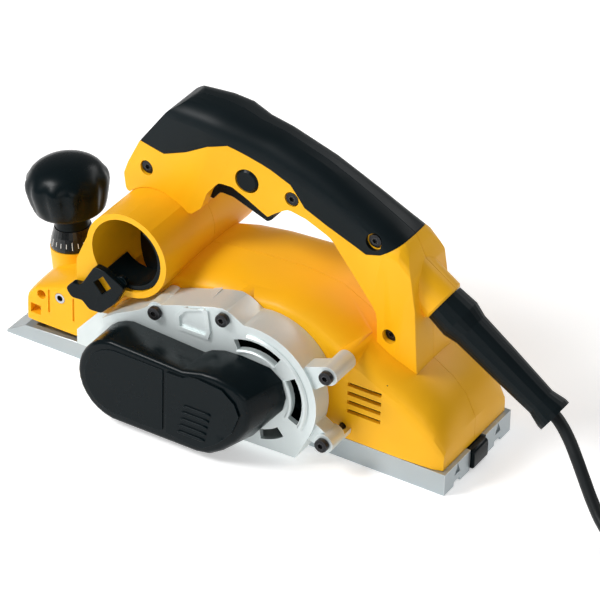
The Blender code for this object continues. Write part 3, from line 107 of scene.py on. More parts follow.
# %% Node group helpers
def new_group(name, inputs, outputs):
    """An empty node group with named number sockets, and its input and output nodes."""
    tree = bpy.data.node_groups.new(name, "ShaderNodeTree")
    for socket, value in inputs:
        made = tree.interface.new_socket(socket, in_out="INPUT", socket_type="NodeSocketFloat")
        made.default_value = value
    for socket in outputs:
        tree.interface.new_socket(socket, in_out="OUTPUT", socket_type="NodeSocketFloat")
    return tree, tree.nodes.new("NodeGroupInput"), tree.nodes.new("NodeGroupOutput")


def calculate(tree, operation, first, second=None, third=None, clamp=False):
    """A Math node whose inputs are numbers or sockets, and its output."""
    node = tree.nodes.new("ShaderNodeMath")
    node.operation = operation
    node.use_clamp = clamp
    for socket, value in zip(node.inputs, (first, second, third)):
        if value is None:
            continue
        if isinstance(value, (int, float)):
            socket.default_value = value
        else:
            tree.links.new(value, socket)
    return node.outputs[0]


def noise(tree, scale, detail=3.0, roughness=0.5, vector=None):
    """Noise on the object's own coordinates, so the pattern keeps its place on the piece."""
    node = tree.nodes.new("ShaderNodeTexNoise")
    node.inputs["Detail"].default_value = detail
    node.inputs["Roughness"].default_value = roughness
    if isinstance(scale, (int, float)):
        node.inputs["Scale"].default_value = scale
    else:
        tree.links.new(scale, node.inputs["Scale"])
    if vector is None:
        vector = tree.nodes.new("ShaderNodeTexCoord").outputs["Object"]
    tree.links.new(vector, node.inputs["Vector"])
    return node.outputs["Fac"]


# %% [markdown]
# ## Grain, edge wear and dust
# Grain is fine noise that a Bump node reads as height, and a broad blotch that varies the colour. Wear
# is found by comparing the true normal with one that a Bevel node has rounded: they disagree only
# near an edge, and noise breaks the line up. Dust lies where the normal points up. Painting masks by
# hand would also work, but these follow any piece they are put on.

# %% Grain, edge wear and dust
grain_group, grain_in, grain_out = new_group(
    "moulded_grain", (("Scale", 900.0), ("Blotch Scale", 30.0)), ("Height", "Blotch"))
grain_group.links.new(noise(grain_group, grain_in.outputs["Scale"], 2.0), grain_out.inputs["Height"])
grain_group.links.new(noise(grain_group, grain_in.outputs["Blotch Scale"], 4.0), grain_out.inputs["Blotch"])

edge_group, edge_in, edge_out = new_group("worn_edge", (("Width", 0.0008), ("Strength", 1.0)), ("Mask",))
rounded = edge_group.nodes.new("ShaderNodeBevel")
rounded.samples = 4
edge_group.links.new(edge_in.outputs["Width"], rounded.inputs["Radius"])
flat = edge_group.nodes.new("ShaderNodeNewGeometry")
agree = edge_group.nodes.new("ShaderNodeVectorMath")
agree.operation = "DOT_PRODUCT"
edge_group.links.new(rounded.outputs["Normal"], agree.inputs[0])
edge_group.links.new(flat.outputs["Normal"], agree.inputs[1])
bend = calculate(edge_group, "SUBTRACT", 1.0, agree.outputs["Value"])
sharp = calculate(edge_group, "MULTIPLY", bend, 5.0, clamp=True)
broken = calculate(edge_group, "ADD", noise(edge_group, 160.0, 4.0, 0.65), 0.25, clamp=True)
rubbed = calculate(edge_group, "MULTIPLY", sharp, broken)
strength = edge_in.outputs["Strength"]
edge_group.links.new(
    calculate(edge_group, "MULTIPLY", rubbed, strength, clamp=True), edge_out.inputs["Mask"])

dust_group, dust_in, dust_out = new_group("settled_dust", (("Amount", 0.3),), ("Mask",))
facing = dust_group.nodes.new("ShaderNodeSeparateXYZ")
dust_group.links.new(dust_group.nodes.new("ShaderNodeNewGeometry").outputs["Normal"], facing.inputs[0])
level = calculate(dust_group, "MULTIPLY_ADD", facing.outputs["Z"], 2.5, -1.5, clamp=True)
patchy = calculate(dust_group, "MULTIPLY", level, noise(dust_group, 55.0, 6.0, 0.7))
dust_group.links.new(
    calculate(dust_group, "MULTIPLY", patchy, dust_in.outputs["Amount"], clamp=True), dust_out.inputs["Mask"])
print("node groups:", [group.name for group in bpy.data.node_groups])

# %% [markdown]
# ## The finishes
# One function lays the three effects over a Principled shader, and each finish calls it with its own
# colours and numbers. Moulded plastic has a fine skin and a soft gloss. Rubber is rougher, with a
# larger pebble. Cast aluminium is a matt metal with a sandy skin and bright edges. The same recipe
# for all keeps the set of materials looking as if one lamp and one camera had seen them.
# The black finishes have a low specular level, or a pale studio would turn them grey.


# %% The finish recipe
def mixed(tree, mask, first, second):
    """A colour between two colours, chosen by a mask."""
    node = tree.nodes.new("ShaderNodeMix")
    node.data_type = "RGBA"
    tree.links.new(mask, node.inputs[0])
    for socket, value in ((node.inputs[6], first), (node.inputs[7], second)):
        if isinstance(value, tuple):
            socket.default_value = (*value, 1.0)
        else:
            tree.links.new(value, socket)
    return node.outputs[2]


def placed_group(tree, group, **values):
    node = tree.nodes.new("ShaderNodeGroup")
    node.node_tree = group
    for socket, value in values.items():
        node.inputs[socket.replace("_", " ")].default_value = value
    return node


def finish(name, colour, shade, edge, gloss, metal=0.0, grain=900.0, depth=0.00002, wear=0.4, dust=0.15,
           blotch=30.0, coat=0.0, marks=None, shine=0.5):
    """A finish: two near colours, worn edges, dust, and a skin that is grained to a depth."""
    material = bpy.data.materials.new(name)
    material.use_nodes = True
    tree = material.node_tree
    shader = tree.nodes["Principled BSDF"]
    skin = placed_group(tree, grain_group, Scale=grain, Blotch_Scale=blotch)
    worn = placed_group(tree, edge_group, Width=0.0009, Strength=wear)
    dusty = placed_group(tree, dust_group, Amount=dust)
    body = mixed(tree, skin.outputs["Blotch"], colour, shade)
    rubbed_body = mixed(tree, worn.outputs["Mask"], body, edge)
    tree.links.new(
        mixed(tree, dusty.outputs["Mask"], rubbed_body, (0.62, 0.55, 0.45)), shader.inputs["Base Color"])
    spread = calculate(tree, "MULTIPLY_ADD", skin.outputs["Blotch"], 0.22, gloss - 0.11)
    dulled = calculate(tree, "MULTIPLY_ADD", dusty.outputs["Mask"], 0.35, spread, clamp=True)
    tree.links.new(dulled, shader.inputs["Roughness"])
    shader.inputs["Metallic"].default_value = metal
    shader.inputs["Coat Weight"].default_value = coat
    shader.inputs["Coat Roughness"].default_value = 0.25
    shader.inputs["Specular IOR Level"].default_value = shine
    height = skin.outputs["Height"]
    if marks:
        height = calculate(tree, "ADD", height, marks(tree))
    bump = tree.nodes.new("ShaderNodeBump")
    bump.inputs["Strength"].default_value = 0.6
    bump.inputs["Distance"].default_value = depth
    tree.links.new(height, bump.inputs["Height"])
    tree.links.new(bump.outputs["Normal"], shader.inputs["Normal"])
    return material


def cutter_lines(across, pitch):
    """Fine lines left by a milling cutter or a lathe, running across one axis."""
    def made(tree):
        coordinates = tree.nodes.new("ShaderNodeTexCoord").outputs["Object"]
        squeeze = tree.nodes.new("ShaderNodeMapping")
        squeeze.inputs["Scale"].default_value = [1.0 / pitch if axis == across else 4.0 for axis in range(3)]
        tree.links.new(coordinates, squeeze.inputs["Vector"])
        return noise(tree, 1.0, 3.0, 0.6, squeeze.outputs["Vector"])
    return made


# %% [markdown]
# ## The list of finishes
# Each line gives a finish its colour, a near shade of it, the colour of a rubbed edge and a
# roughness. Metals then get a metallic value, and turned or milled ones the fine lines of the cutter.
# The cast and milled aluminium stay partly metallic, because a bare mirror of the yellow housing
# would tint them. Colours are in linear light, which is why the blacks look so small.

# %% Every finish of the tool
YELLOW = finish("moulded_yellow", (0.95, 0.49, 0.006), (0.90, 0.43, 0.004), (1.0, 0.62, 0.05), 0.42,
                grain=1500.0, depth=0.000012, wear=0.25, dust=0.02, shine=0.28)
RUBBER = finish("soft_black_rubber", (0.0012, 0.0045, 0.0060), (0.0030, 0.0080, 0.0105),
                (0.012, 0.022, 0.028), 0.42, grain=1100.0, depth=0.00003, wear=0.35, dust=0.003, shine=0.15)
BLACK = finish("moulded_black", (0.0008, 0.0035, 0.0048), (0.0018, 0.0062, 0.0082),
               (0.012, 0.026, 0.032), 0.28, grain=1300.0, depth=0.000018, wear=0.45, dust=0.003, shine=0.13)
GLOSS_BLACK = finish("glossy_black", (0.002, 0.003, 0.004), (0.004, 0.006, 0.007), (0.03, 0.035, 0.04), 0.16,
                     grain=500.0, depth=0.000006, wear=0.3, dust=0.006, coat=0.3, shine=0.3)
CAST = finish("cast_aluminium", (0.74, 0.80, 0.80), (0.64, 0.71, 0.71), (0.88, 0.92, 0.92), 0.46, 0.45,
              grain=650.0, depth=0.00005, wear=0.8, dust=0.02, blotch=45.0)
MILLED = finish("milled_aluminium", (0.46, 0.51, 0.53), (0.38, 0.43, 0.45), (0.80, 0.84, 0.86), 0.34, 0.65,
                grain=500.0, depth=0.00002, wear=0.8, dust=0.02, marks=cutter_lines(1, 0.0007))
STEEL = finish("turned_steel", (0.56, 0.57, 0.58), (0.48, 0.49, 0.50), (0.8, 0.8, 0.8), 0.26, 1.0,
               grain=600.0, depth=0.00001, wear=0.5, marks=cutter_lines(1, 0.0005))
BLUED = finish("blackened_steel", (0.018, 0.019, 0.021), (0.03, 0.03, 0.033), (0.22, 0.22, 0.23), 0.30, 0.8,
               grain=900.0, depth=0.00001, wear=0.6)
COPPER = finish("wound_copper", (0.70, 0.32, 0.13), (0.58, 0.25, 0.09), (0.9, 0.5, 0.3), 0.32, 1.0,
                grain=500.0, depth=0.00006, marks=cutter_lines(1, 0.0006))
IRON = finish("laminated_iron", (0.30, 0.30, 0.31), (0.22, 0.22, 0.23), (0.5, 0.5, 0.5), 0.45, 1.0,
              grain=400.0, depth=0.00008, marks=cutter_lines(1, 0.0005))
CARBON = finish("carbon_block", (0.030, 0.030, 0.032), (0.045, 0.045, 0.047), (0.1, 0.1, 0.1), 0.55,
                grain=1400.0, depth=0.00002)
LEAD = finish("lead_cover", (0.003, 0.005, 0.006), (0.006, 0.009, 0.011), (0.02, 0.03, 0.035), 0.42,
              grain=1200.0, depth=0.00001, wear=0.1, dust=0.02, shine=0.3)
print("finishes:", len(bpy.data.materials))

# %% [markdown]
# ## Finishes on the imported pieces
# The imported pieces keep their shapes. Each gets its finish through its material slots, chosen by the
# slot that the record names for it, with a few exceptions where one slot covers two finishes, such
# as the milled soles and the sand-cast drive housing, which are both aluminium.

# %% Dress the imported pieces
BY_SLOT = {
    "yellow_plastic": YELLOW, "soft_rubber": RUBBER, "black_plastic": BLACK, "cast_aluminium": CAST,
    "steel": STEEL, "black_screw": BLUED, "copper": COPPER, "laminated_iron": IRON, "carbon": CARBON,
    "lead_cover": LEAD,
}
EXCEPTIONS = {
    "front_sole": MILLED, "rear_sole": MILLED, "cutter_drum": MILLED, "depth_scale_collar": GLOSS_BLACK}
slot_of = {row["node"]: row["material_slot"] for row in frame["record"]["subparts"]}
for name, obj in nodes.items():
    worn_in = EXCEPTIONS.get(name, BY_SLOT[slot_of[name]])
    if not obj.material_slots:
        obj.data.materials.append(worn_in)
    for slot in obj.material_slots:
        slot.material = worn_in
print("dressed:", len(nodes), "with", len(set(slot_of.values())), "slots")

# %% [markdown]
# ## Making new pieces
# New pieces start as bmesh primitives and are shaped with its operators. Two helpers cover most of
# them: one spins a profile about an axis, as a lathe does, and one turns a finished bmesh into an
# object that rides on a body of the imported model and wears the finish it is given.


# %% Piece helpers
def piece(name, bm, material, body="machine", stands_for=(), smooth=35):
    """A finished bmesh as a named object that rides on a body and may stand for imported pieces."""
    bmesh.ops.remove_doubles(bm, verts=bm.verts, dist=1e-6)
    bmesh.ops.recalc_face_normals(bm, faces=bm.faces)
    mesh = bpy.data.meshes.new(name)
    bm.to_mesh(mesh)
    bm.free()
    mesh.shade_smooth()
    mesh.set_sharp_from_angle(angle=math.radians(smooth))
    mesh.materials.append(material)
    obj = bpy.data.objects.new(name, mesh)
    bpy.context.scene.collection.objects.link(obj)
    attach(obj, body)
    if stands_for:
        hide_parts(*stands_for)
    print(name, "faces:", len(mesh.polygons))
    return obj


def lathe(bm, profile, steps=48):
    """Spins (radius, height) points about Z into the bmesh, and returns the new vertices."""
    start = len(bm.verts)
    line = [bm.verts.new((radius, 0.0, height)) for radius, height in profile]
    edges = [bm.edges.new(pair) for pair in zip(line, line[1:])]
    bmesh.ops.spin(
        bm, geom=line + edges, cent=(0, 0, 0), axis=(0, 0, 1), angle=math.tau, steps=steps, use_merge=True)
    bm.verts.ensure_lookup_table()
    return bm.verts[start:]


def stood(place, along):
    """The matrix that stands a piece made about Z on a place, along a direction."""
    turn = Vector((0, 0, 1)).rotation_difference(Vector(along)).to_matrix().to_4x4()
    return Matrix.Translation(place) @ turn


# %% [markdown]
# ## Rounded edges
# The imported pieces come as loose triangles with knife-sharp edges, and nothing real has those. Each
# visible one is copied, its triangles are merged, and faces that lie in one plane are dissolved into
# one. A Bevel modifier then rounds what is still sharp, so every edge catches a thin line of light,
# and the gentle bends of the handle and housing are shaded smooth.


# %% Rounded copies of the visible pieces
def rounded_copy(name, width, body="machine", dissolve=0.6):
    """A merged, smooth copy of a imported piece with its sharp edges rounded."""
    bm = bmesh.new()
    bm.from_mesh(nodes[name].data)
    bmesh.ops.remove_doubles(bm, verts=bm.verts, dist=1e-5)
    bmesh.ops.dissolve_limit(
        bm, angle_limit=math.radians(dissolve), verts=list(bm.verts), edges=list(bm.edges))
    material = nodes[name].material_slots[0].material
    obj = piece(f"{name}_shell", bm, material, body=body, stands_for=(name,), smooth=32)
    bevel = obj.modifiers.new("rounded_edges", "BEVEL")
    bevel.width = width
    bevel.segments = 2
    bevel.limit_method = "ANGLE"
    bevel.angle_limit = math.radians(32)
    bevel.use_clamp_overlap = True
    bevel.harden_normals = False
    return obj


BODY_OF = {name: body for body, members in frame["record"]["behaviour"]["bodies"].items() for name in members}
EDGE_ROUNDING = {
    "housing_left": 0.0006, "housing_right": 0.0006, "handle_left": 0.0006, "handle_right": 0.0006,
    "grip_left": 0.0006, "grip_right": 0.0006, "drive_housing": 0.0008, "front_sole": 0.0005,
    "rear_sole": 0.0005, "belt_cover": 0.0006, "deflector_lever": 0.0006, "trigger": 0.0008,
    "parking_foot": 0.0008, "chip_deflector": 0.0004,
}
for name, width in EDGE_ROUNDING.items():
    rounded_copy(name, width, BODY_OF[name])

# %% [markdown]
# ## Raised mouldings
# Mouldings and castings are full of shallow raised fields. Each could be modelled into its part. Here
# each is one outline, filled with a face, cut into a grid by planes, dropped onto the piece behind it
# and extruded a little way out, so it follows the surface below and its rounded edge catches the
# light. An outline with a rim width becomes a hollow frame.


# %% Helper for raised mouldings
GRID = 0.004
HALF_WIDTH = 0.041
SUNK = 0.0006  # how far a moulding goes into the piece behind it


def only_verts(items):
    return [item for item in items if isinstance(item, bmesh.types.BMVert)]


def moulding(name, under, outline, lift, material, rim=0.0, rounding=0.0005):
    """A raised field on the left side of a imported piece, from (x, z) points."""
    ground = bmesh.new()
    ground.from_mesh(nodes[under].data)
    surface = BVHTree.FromBMesh(ground)
    ground.free()
    bm = bmesh.new()
    corners = [bm.verts.new((x, 0.0, z)) for x, z in outline]
    field = bmesh.ops.contextual_create(bm, geom=corners)["faces"][0]
    if rim:
        bmesh.ops.inset_region(bm, faces=[field], thickness=rim, use_boundary=True, use_even_offset=True)
        bmesh.ops.delete(bm, geom=[field], context="FACES_ONLY")
    bmesh.ops.triangulate(bm, faces=bm.faces)
    for axis, direction in ((0, (1, 0, 0)), (2, (0, 0, 1))):
        low = min(vert.co[axis] for vert in bm.verts)
        high = max(vert.co[axis] for vert in bm.verts)
        for number in range(1, int((high - low) / GRID) + 1):
            place = Vector()
            place[axis] = low + GRID * number
            everything = bm.verts[:] + bm.edges[:] + bm.faces[:]
            bmesh.ops.bisect_plane(bm, geom=everything, plane_co=place, plane_no=direction)
    for vert in bm.verts:
        landed = surface.ray_cast(Vector((vert.co.x, -0.2, vert.co.z)), Vector((0, 1, 0)))[0]
        vert.co.y = landed.y if landed else -HALF_WIDTH
    bottom = bm.verts[:]
    raised = bmesh.ops.extrude_face_region(bm, geom=bm.faces[:])["geom"]
    bmesh.ops.translate(bm, vec=(0, -lift, 0), verts=only_verts(raised))
    bmesh.ops.translate(bm, vec=(0, SUNK, 0), verts=bottom)
    obj = piece(name, bm, material, smooth=40)
    bevel = obj.modifiers.new("rounded_edges", "BEVEL")
    bevel.width = rounding
    bevel.segments = 2
    bevel.limit_method = "ANGLE"
    bevel.angle_limit = math.radians(50)
    return obj


def arc_points(centre, radius, start, end, steps):
    """Points on an arc in the XZ plane, with angles in degrees."""
    turns = [math.radians(start + (end - start) * number / steps) for number in range(steps + 1)]
    return [(centre[0] + radius * math.cos(turn), centre[1] + radius * math.sin(turn)) for turn in turns]


# %% [markdown]
# ## Fields and ribs on the belt cover
# The cover's face has a plain field in front and a prouder one behind, with a thin groove between
# them, and five short ribs where fingers hold the cover. The front field is an arc about
# the nose of the cover, closed by a straight edge at the groove. The ribs are one outline, moved up
# and back by the same step each time.

# %% Belt cover mouldings
COVER_NOSE = (-0.043, 0.0345)
front_field = arc_points(COVER_NOSE, 0.0232, 96, 262, 14)
front_field += [(-0.0120, 0.0112), (-0.0095, 0.0130), (-0.0095, 0.0570)]
moulding("cover_front_field", "belt_cover", front_field, 0.0007, BLACK)
rear_field = [
    (-0.0065, 0.0570), (-0.0065, 0.0125), (0.0120, 0.0100), (0.0200, 0.0110), (0.0310, 0.0190),
    (0.0405, 0.0300), (0.0455, 0.0440), (0.0420, 0.0520), (0.0330, 0.0590), (0.0160, 0.0605),
    (0.0090, 0.0595), (0.0050, 0.0572)]
moulding("cover_rear_field", "belt_cover", rear_field, 0.0016, BLACK, rounding=0.0009)

RIB_COUNT = 5
RIB_LENGTH = 0.0170
RIB_HALF = 0.0009
RIB_POINT = 0.0015
for number in range(RIB_COUNT):
    low = 0.0165 + 0.0050 * number
    start = 0.0035 + 0.0010 * number
    end = start + RIB_LENGTH
    high = low + 2 * RIB_HALF
    middle = low + RIB_HALF
    rib = [(start, low), (end, low), (end + RIB_POINT, middle), (end, high), (start, high),
           (start - RIB_POINT, middle)]
    name = f"cover_grip_rib_{number + 1}"
    moulding(name, "belt_cover", rib, 0.0025, BLACK, rounding=0.0004)

# %% [markdown]
# ## Rims on the casting
# The casting's air slots lie between two raised rims that stiffen its thin face. A rim is part of a
# ring about the motor's axis, so its section is drawn once as one face and spun through the angle it
# covers, which closes both ends as well. The dish between the two top screws has a straight-sided
# rim, so it is a hollow moulding.

# %% Casting rims
MOTOR_AXIS = (0.038, 0.045)
CASTING_FACE = -0.064
RING_SUNK = 0.0008
RING_STEPS = 28


def ring_moulding(name, inner, outer, start, end, lift):
    """A rim on the casting's flat face, spun from its section between two angles in degrees."""
    bm = bmesh.new()
    low = CASTING_FACE + RING_SUNK
    high = CASTING_FACE - lift
    slope = min(lift, (outer - inner) / 2) * 0.6
    section = ((inner, low), (inner, high + slope), (inner + slope, high), (outer - slope, high),
               (outer, high + slope), (outer, low))
    corners = [bm.verts.new((radius, y, 0.0)) for radius, y in section]
    bm.faces.new(corners)
    first = Matrix.Rotation(-math.radians(start), 3, "Y")
    bmesh.ops.rotate(bm, verts=bm.verts, cent=(0, 0, 0), matrix=first)
    sweep = math.radians(end - start)
    bmesh.ops.spin(
        bm, geom=bm.faces[:], cent=(0, 0, 0), axis=(0, -1, 0), angle=sweep, steps=RING_STEPS)
    bmesh.ops.translate(bm, vec=(MOTOR_AXIS[0], 0.0, MOTOR_AXIS[1]), verts=bm.verts)
    return piece(name, bm, CAST, smooth=40)


ring_moulding("casting_slot_rim", 0.0352, 0.0388, -25, 97, 0.0018)
ring_moulding("casting_upper_slot_lip", 0.0253, 0.0273, 56, 116, 0.0012)
ring_moulding("casting_rear_slot_lip", 0.0253, 0.0273, -26, 34, 0.0012)
dish = [(-0.0165, 0.0700), (0.0060, 0.0700), (0.0075, 0.0755), (0.0055, 0.0900), (0.0010, 0.0925),
        (-0.0120, 0.0870), (-0.0175, 0.0800)]
moulding("casting_dish_rim", "drive_housing", dish, 0.0016, CAST, rim=0.0026)

# %% [markdown]
# ## Behind the air vents
# The slots in the rear of the housing open onto the dark, shaded inside of the tool. The imported housing is
# hollow and bright yellow inside, so light would show through. A thin black plate just behind the
# slots is painted shade: it stands for the deep shadow around the real motor and its air guide.

# %% Painted shade behind the air vents
VENT_SHADE_SIZE = (0.0285, 0.0008, 0.0295)
VENT_SHADE_PLACE = (0.1022, -0.0374, 0.0478)
# A black plate of painted shade, just behind the vent slots.
vent_shade = bmesh.new()
bmesh.ops.create_cube(vent_shade, size=1.0)
bmesh.ops.scale(vent_shade, vec=VENT_SHADE_SIZE, verts=vent_shade.verts)
bmesh.ops.translate(vent_shade, vec=VENT_SHADE_PLACE, verts=vent_shade.verts)
bmesh.ops.bevel(
    vent_shade, geom=vent_shade.edges[:], offset=0.0002, segments=1, profile=0.5, affect="EDGES", material=-1)
piece("vent_shade_plate", vent_shade, BLACK)

# %% [markdown]
# ## The mains lead
# The lead is 2.5 m of 8 mm round rubber cable, which is what such a tool has. Only its first part is
# on show. The rest is wound into a neat coil of three layers beside the tool, with turns one
# diameter apart, as for storage. A curve with a round bevel is the natural way to make it: the
# curve's line is the cable's centre. The line is worked out as the cable would be laid: out of the
# guard, down to the bench, then round and round, stepping in or out by one turn each time round.

# %% The lead's line
LEAD_DIAMETER = 0.008
GUARD_START = Vector((0.1315, 0.0, 0.1075))
GUARD_FALL = math.radians(33.8)
GUARD_LENGTH = 0.095
GUARD_ALONG = Vector((math.cos(GUARD_FALL), 0.0, -math.sin(GUARD_FALL)))
REST = 0.0043
COIL_CENTRE = Vector((0.330, 0.010, 0.0))
COIL_RADII = (0.0524, 0.0442, 0.0360)
LAYER_RISE = 0.0082
lead_line = [GUARD_START + GUARD_ALONG * (GUARD_LENGTH + back_by) for back_by in (-0.0080, 0.0005)]
lead_line += [Vector(point) for point in (
    (0.2150, -0.0010, 0.0515), (0.2225, -0.0040, 0.0452), (0.2310, -0.0090, 0.0372),
    (0.2400, -0.0145, 0.0278), (0.2495, -0.0205, 0.0186), (0.2600, -0.0265, 0.0108),
    (0.2720, -0.0325, 0.0062), (0.2850, -0.0375, REST), (0.2990, -0.0410, REST), (0.3130, -0.0424, REST))]


def eased(value, start, end):
    """0 before start, 1 after end, and a smooth step between."""
    part = min(max((value - start) / (end - start), 0.0), 1.0)
    return part * part * (3.0 - 2.0 * part)


# In degrees round the coil from where the lead joins it: when it steps in or out, and when it climbs.
STEPS_IN_OUT = ((270, 352, -1), (630, 712, -1), (1260, 1342, 1), (1620, 1702, 1), (2240, 2322, -1))
CLIMBS = ((930, 1030), (1910, 2010))
COIL_TURN = 130 + 360 * 7
PLUG_LIFT = (COIL_TURN - 90, COIL_TURN + 15)
for degrees in [*range(0, COIL_TURN - 10, 20), COIL_TURN]:
    turn_step = COIL_RADII[0] - COIL_RADII[1]
    radius = COIL_RADII[0] + turn_step * sum(way * eased(degrees, a, b) for a, b, way in STEPS_IN_OUT)
    height = REST + LAYER_RISE * sum(eased(degrees, a, b) for a, b in CLIMBS)
    height += 0.0134 * eased(degrees, *PLUG_LIFT)
    angle = math.radians(degrees - 90)
    lead_line.append(COIL_CENTRE + Vector((math.cos(angle) * radius, math.sin(angle) * radius, height)))
PLUG_ENTRY = Vector((COIL_CENTRE.x + 0.0050, COIL_CENTRE.y + 0.0445, 0.0341))
lead_line.append(PLUG_ENTRY)
laid = sum((b - a).length for a, b in zip(lead_line, lead_line[1:]))
print("lead points:", len(lead_line), "length laid:", round(laid, 3))

# %% The lead itself
lead_curve = bpy.data.curves.new("power_lead", "CURVE")
lead_curve.dimensions = "3D"
lead_curve.bevel_depth = LEAD_DIAMETER / 2
lead_curve.bevel_resolution = 4
lead_curve.resolution_u = 4
lead_curve.use_fill_caps = True
spline = lead_curve.splines.new("BEZIER")
spline.bezier_points.add(len(lead_line) - 1)
for knot, point in zip(spline.bezier_points, lead_line):
    knot.co = point
    knot.handle_left_type = "AUTO"
    knot.handle_right_type = "AUTO"
lead_curve.materials.append(LEAD)
lead = bpy.data.objects.new("power_lead", lead_curve)
bpy.context.scene.collection.objects.link(lead)
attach(lead, "machine")
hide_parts("power_cord", "cord_coil")
print("lead knots:", len(spline.bezier_points), "tube radius:", lead_curve.bevel_depth)

# %% [markdown]
# ## The mains plug
# A two-pin plug body is a squashed block that narrows to the cable, moulded in one with it. It starts
# as a cube. The end that meets the cable is scaled in, the block is bevelled all round, grip ridges
# are bands pushed out of its sides, and two round pins with a plastic sleeve stand out of its face.

# %% Mains plug
PLUG_LONG = 0.048
PLUG_WIDE = 0.035
PLUG_THICK = 0.016
PIN_SPREAD = 0.0095
plug = bmesh.new()
bmesh.ops.create_cube(plug, size=1.0)
bmesh.ops.scale(plug, vec=(PLUG_LONG, PLUG_WIDE, PLUG_THICK), verts=plug.verts)
along_x = [edge for edge in plug.edges if abs(edge.verts[0].co.x - edge.verts[1].co.x) > 0.01]
bmesh.ops.subdivide_edges(plug, edges=along_x, cuts=9, use_grid_fill=True)
for vert in plug.verts:
    toward_cable = (vert.co.x + PLUG_LONG / 2) / PLUG_LONG
    narrowing = 1.0 - 0.62 * eased(toward_cable, 0.35, 1.0)
    ridge = 0.0007 if 0.3 < toward_cable < 0.8 and round(toward_cable * 10) % 2 == 0 else 0.0
    vert.co.y = vert.co.y * narrowing + math.copysign(ridge, vert.co.y)
    vert.co.z *= 1.0 - 0.22 * eased(toward_cable, 0.55, 1.0)
long_edges = [edge for edge in plug.edges if edge.calc_face_angle(0.0) > math.radians(50)]
bmesh.ops.bevel(
    plug, geom=long_edges, offset=0.0022, segments=3, profile=0.5, affect="EDGES", material=-1,
    clamp_overlap=True)
sleeve_profile = (
    (0.0026, 0.0), (0.0026, 0.0095), (0.0023, 0.0097), (0.0023, 0.0180), (0.0012, 0.0189), (0.0, 0.0189))
for side in (-PIN_SPREAD, PIN_SPREAD):
    pin = lathe(plug, sleeve_profile, 20)
    bmesh.ops.transform(plug, matrix=stood((-PLUG_LONG / 2 - 0.0001, side, 0.0), (-1, 0, 0)), verts=pin)
bmesh.ops.translate(plug, vec=PLUG_ENTRY - Vector((PLUG_LONG / 2, 0, 0)), verts=plug.verts)
plug_piece = piece("moulded_plug", plug, BLACK, stands_for=("mains_plug",), smooth=40)

# %% [markdown]
# ## Screws with sockets
# The eight visible screws have a six-lobed socket, which the plain CAD screws don't show. A cone
# primitive with equal ends makes the head. Its top face is inset and that inner face pushed down, so
# the socket is a real hole. The shank is a second, longer cylinder under the head.


# %% Socket screws
def socket_screw(name, head_radius, head_height, shank_radius):
    """A cylinder-head screw in place of a packed one: the head faces the tool's left side."""
    low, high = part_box(name)
    head_face = low.y
    centre = ((low.x + high.x) / 2, (low.z + high.z) / 2)
    bm = bmesh.new()
    bmesh.ops.create_cone(
        bm, cap_ends=True, segments=24, radius1=head_radius, radius2=head_radius, depth=head_height)
    bm.faces.ensure_lookup_table()
    top = max(bm.faces, key=lambda face: face.calc_center_median().z)
    bmesh.ops.bevel(
        bm, geom=list(top.edges), offset=0.0005, segments=2, profile=0.5, affect="EDGES", material=-1)
    top = max(bm.faces, key=lambda face: face.calc_center_median().z)
    bmesh.ops.inset_region(bm, faces=[top], thickness=head_radius * 0.42, use_even_offset=True)
    lobes = sorted(top.verts, key=lambda vert: math.atan2(vert.co.y, vert.co.x))
    dips = [vert for index, vert in enumerate(lobes) if index % 4 in (1, 2)]
    bmesh.ops.scale(bm, vec=(0.80, 0.80, 1.0), verts=dips)
    floor = bmesh.ops.extrude_discrete_faces(bm, faces=[top])["faces"][0]
    bmesh.ops.translate(bm, vec=(0, 0, -head_height * 0.62), verts=list(floor.verts))
    bmesh.ops.translate(bm, vec=(0, 0, -head_height / 2), verts=bm.verts)
    shank_length = high.y - low.y - head_height
    shank = bmesh.ops.create_cone(
        bm, cap_ends=True, segments=16, radius1=shank_radius * 0.9, radius2=shank_radius, depth=shank_length)
    bmesh.ops.translate(bm, vec=(0, 0, -head_height - shank_length / 2 + 0.0001), verts=shank["verts"])
    bmesh.ops.transform(bm, matrix=stood((centre[0], head_face, centre[1]), (0, -1, 0)), verts=bm.verts)
    return piece(f"socket_{name}", bm, BLUED, stands_for=(name,))


for number in range(1, 5):
    socket_screw(f"casting_screw_{number}", 0.0044, 0.0034, 0.0021)
    socket_screw(f"handle_screw_{number}", 0.0043, 0.0024, 0.0021)

# %% [markdown]
# ## The depth knob
# The real knob is a mushroom of hard rubber with flat flutes round its widest part for the fingers.
# A lathe profile gives the mushroom. Then the belt round its widest part is drawn in by a wave that
# comes round twelve times, which makes flutes that a plain turned knob lacks.

# %% Depth knob
KNOB_LEAN = math.radians(7)
KNOB_ALONG = Vector((-math.sin(KNOB_LEAN), 0.0, math.cos(KNOB_LEAN)))
KNOB_PLACE = Vector((-0.1353, 0.0, 0.0548))
KNOB_BASE = 0.0133
knob = bmesh.new()
lathe(knob, (
    (0.0, 0.0200), (0.0043, 0.0200), (0.0043, 0.0), (0.0112, 0.0), (0.0108, 0.0035), (0.0105, 0.0070),
    (0.0112, 0.0095), (0.0128, 0.0105), (0.0175, 0.0110), (0.0215, 0.0115), (0.0225, 0.0125),
    (0.0232, 0.0140), (0.0243, 0.0190), (0.0255, 0.0245), (0.0262, 0.0285), (0.0262, 0.0318),
    (0.0256, 0.0345), (0.0245, 0.0365), (0.0228, 0.0393), (0.0205, 0.0415), (0.0175, 0.0435),
    (0.0140, 0.0450), (0.0100, 0.0462), (0.0060, 0.0468), (0.0, 0.0472)), 72)
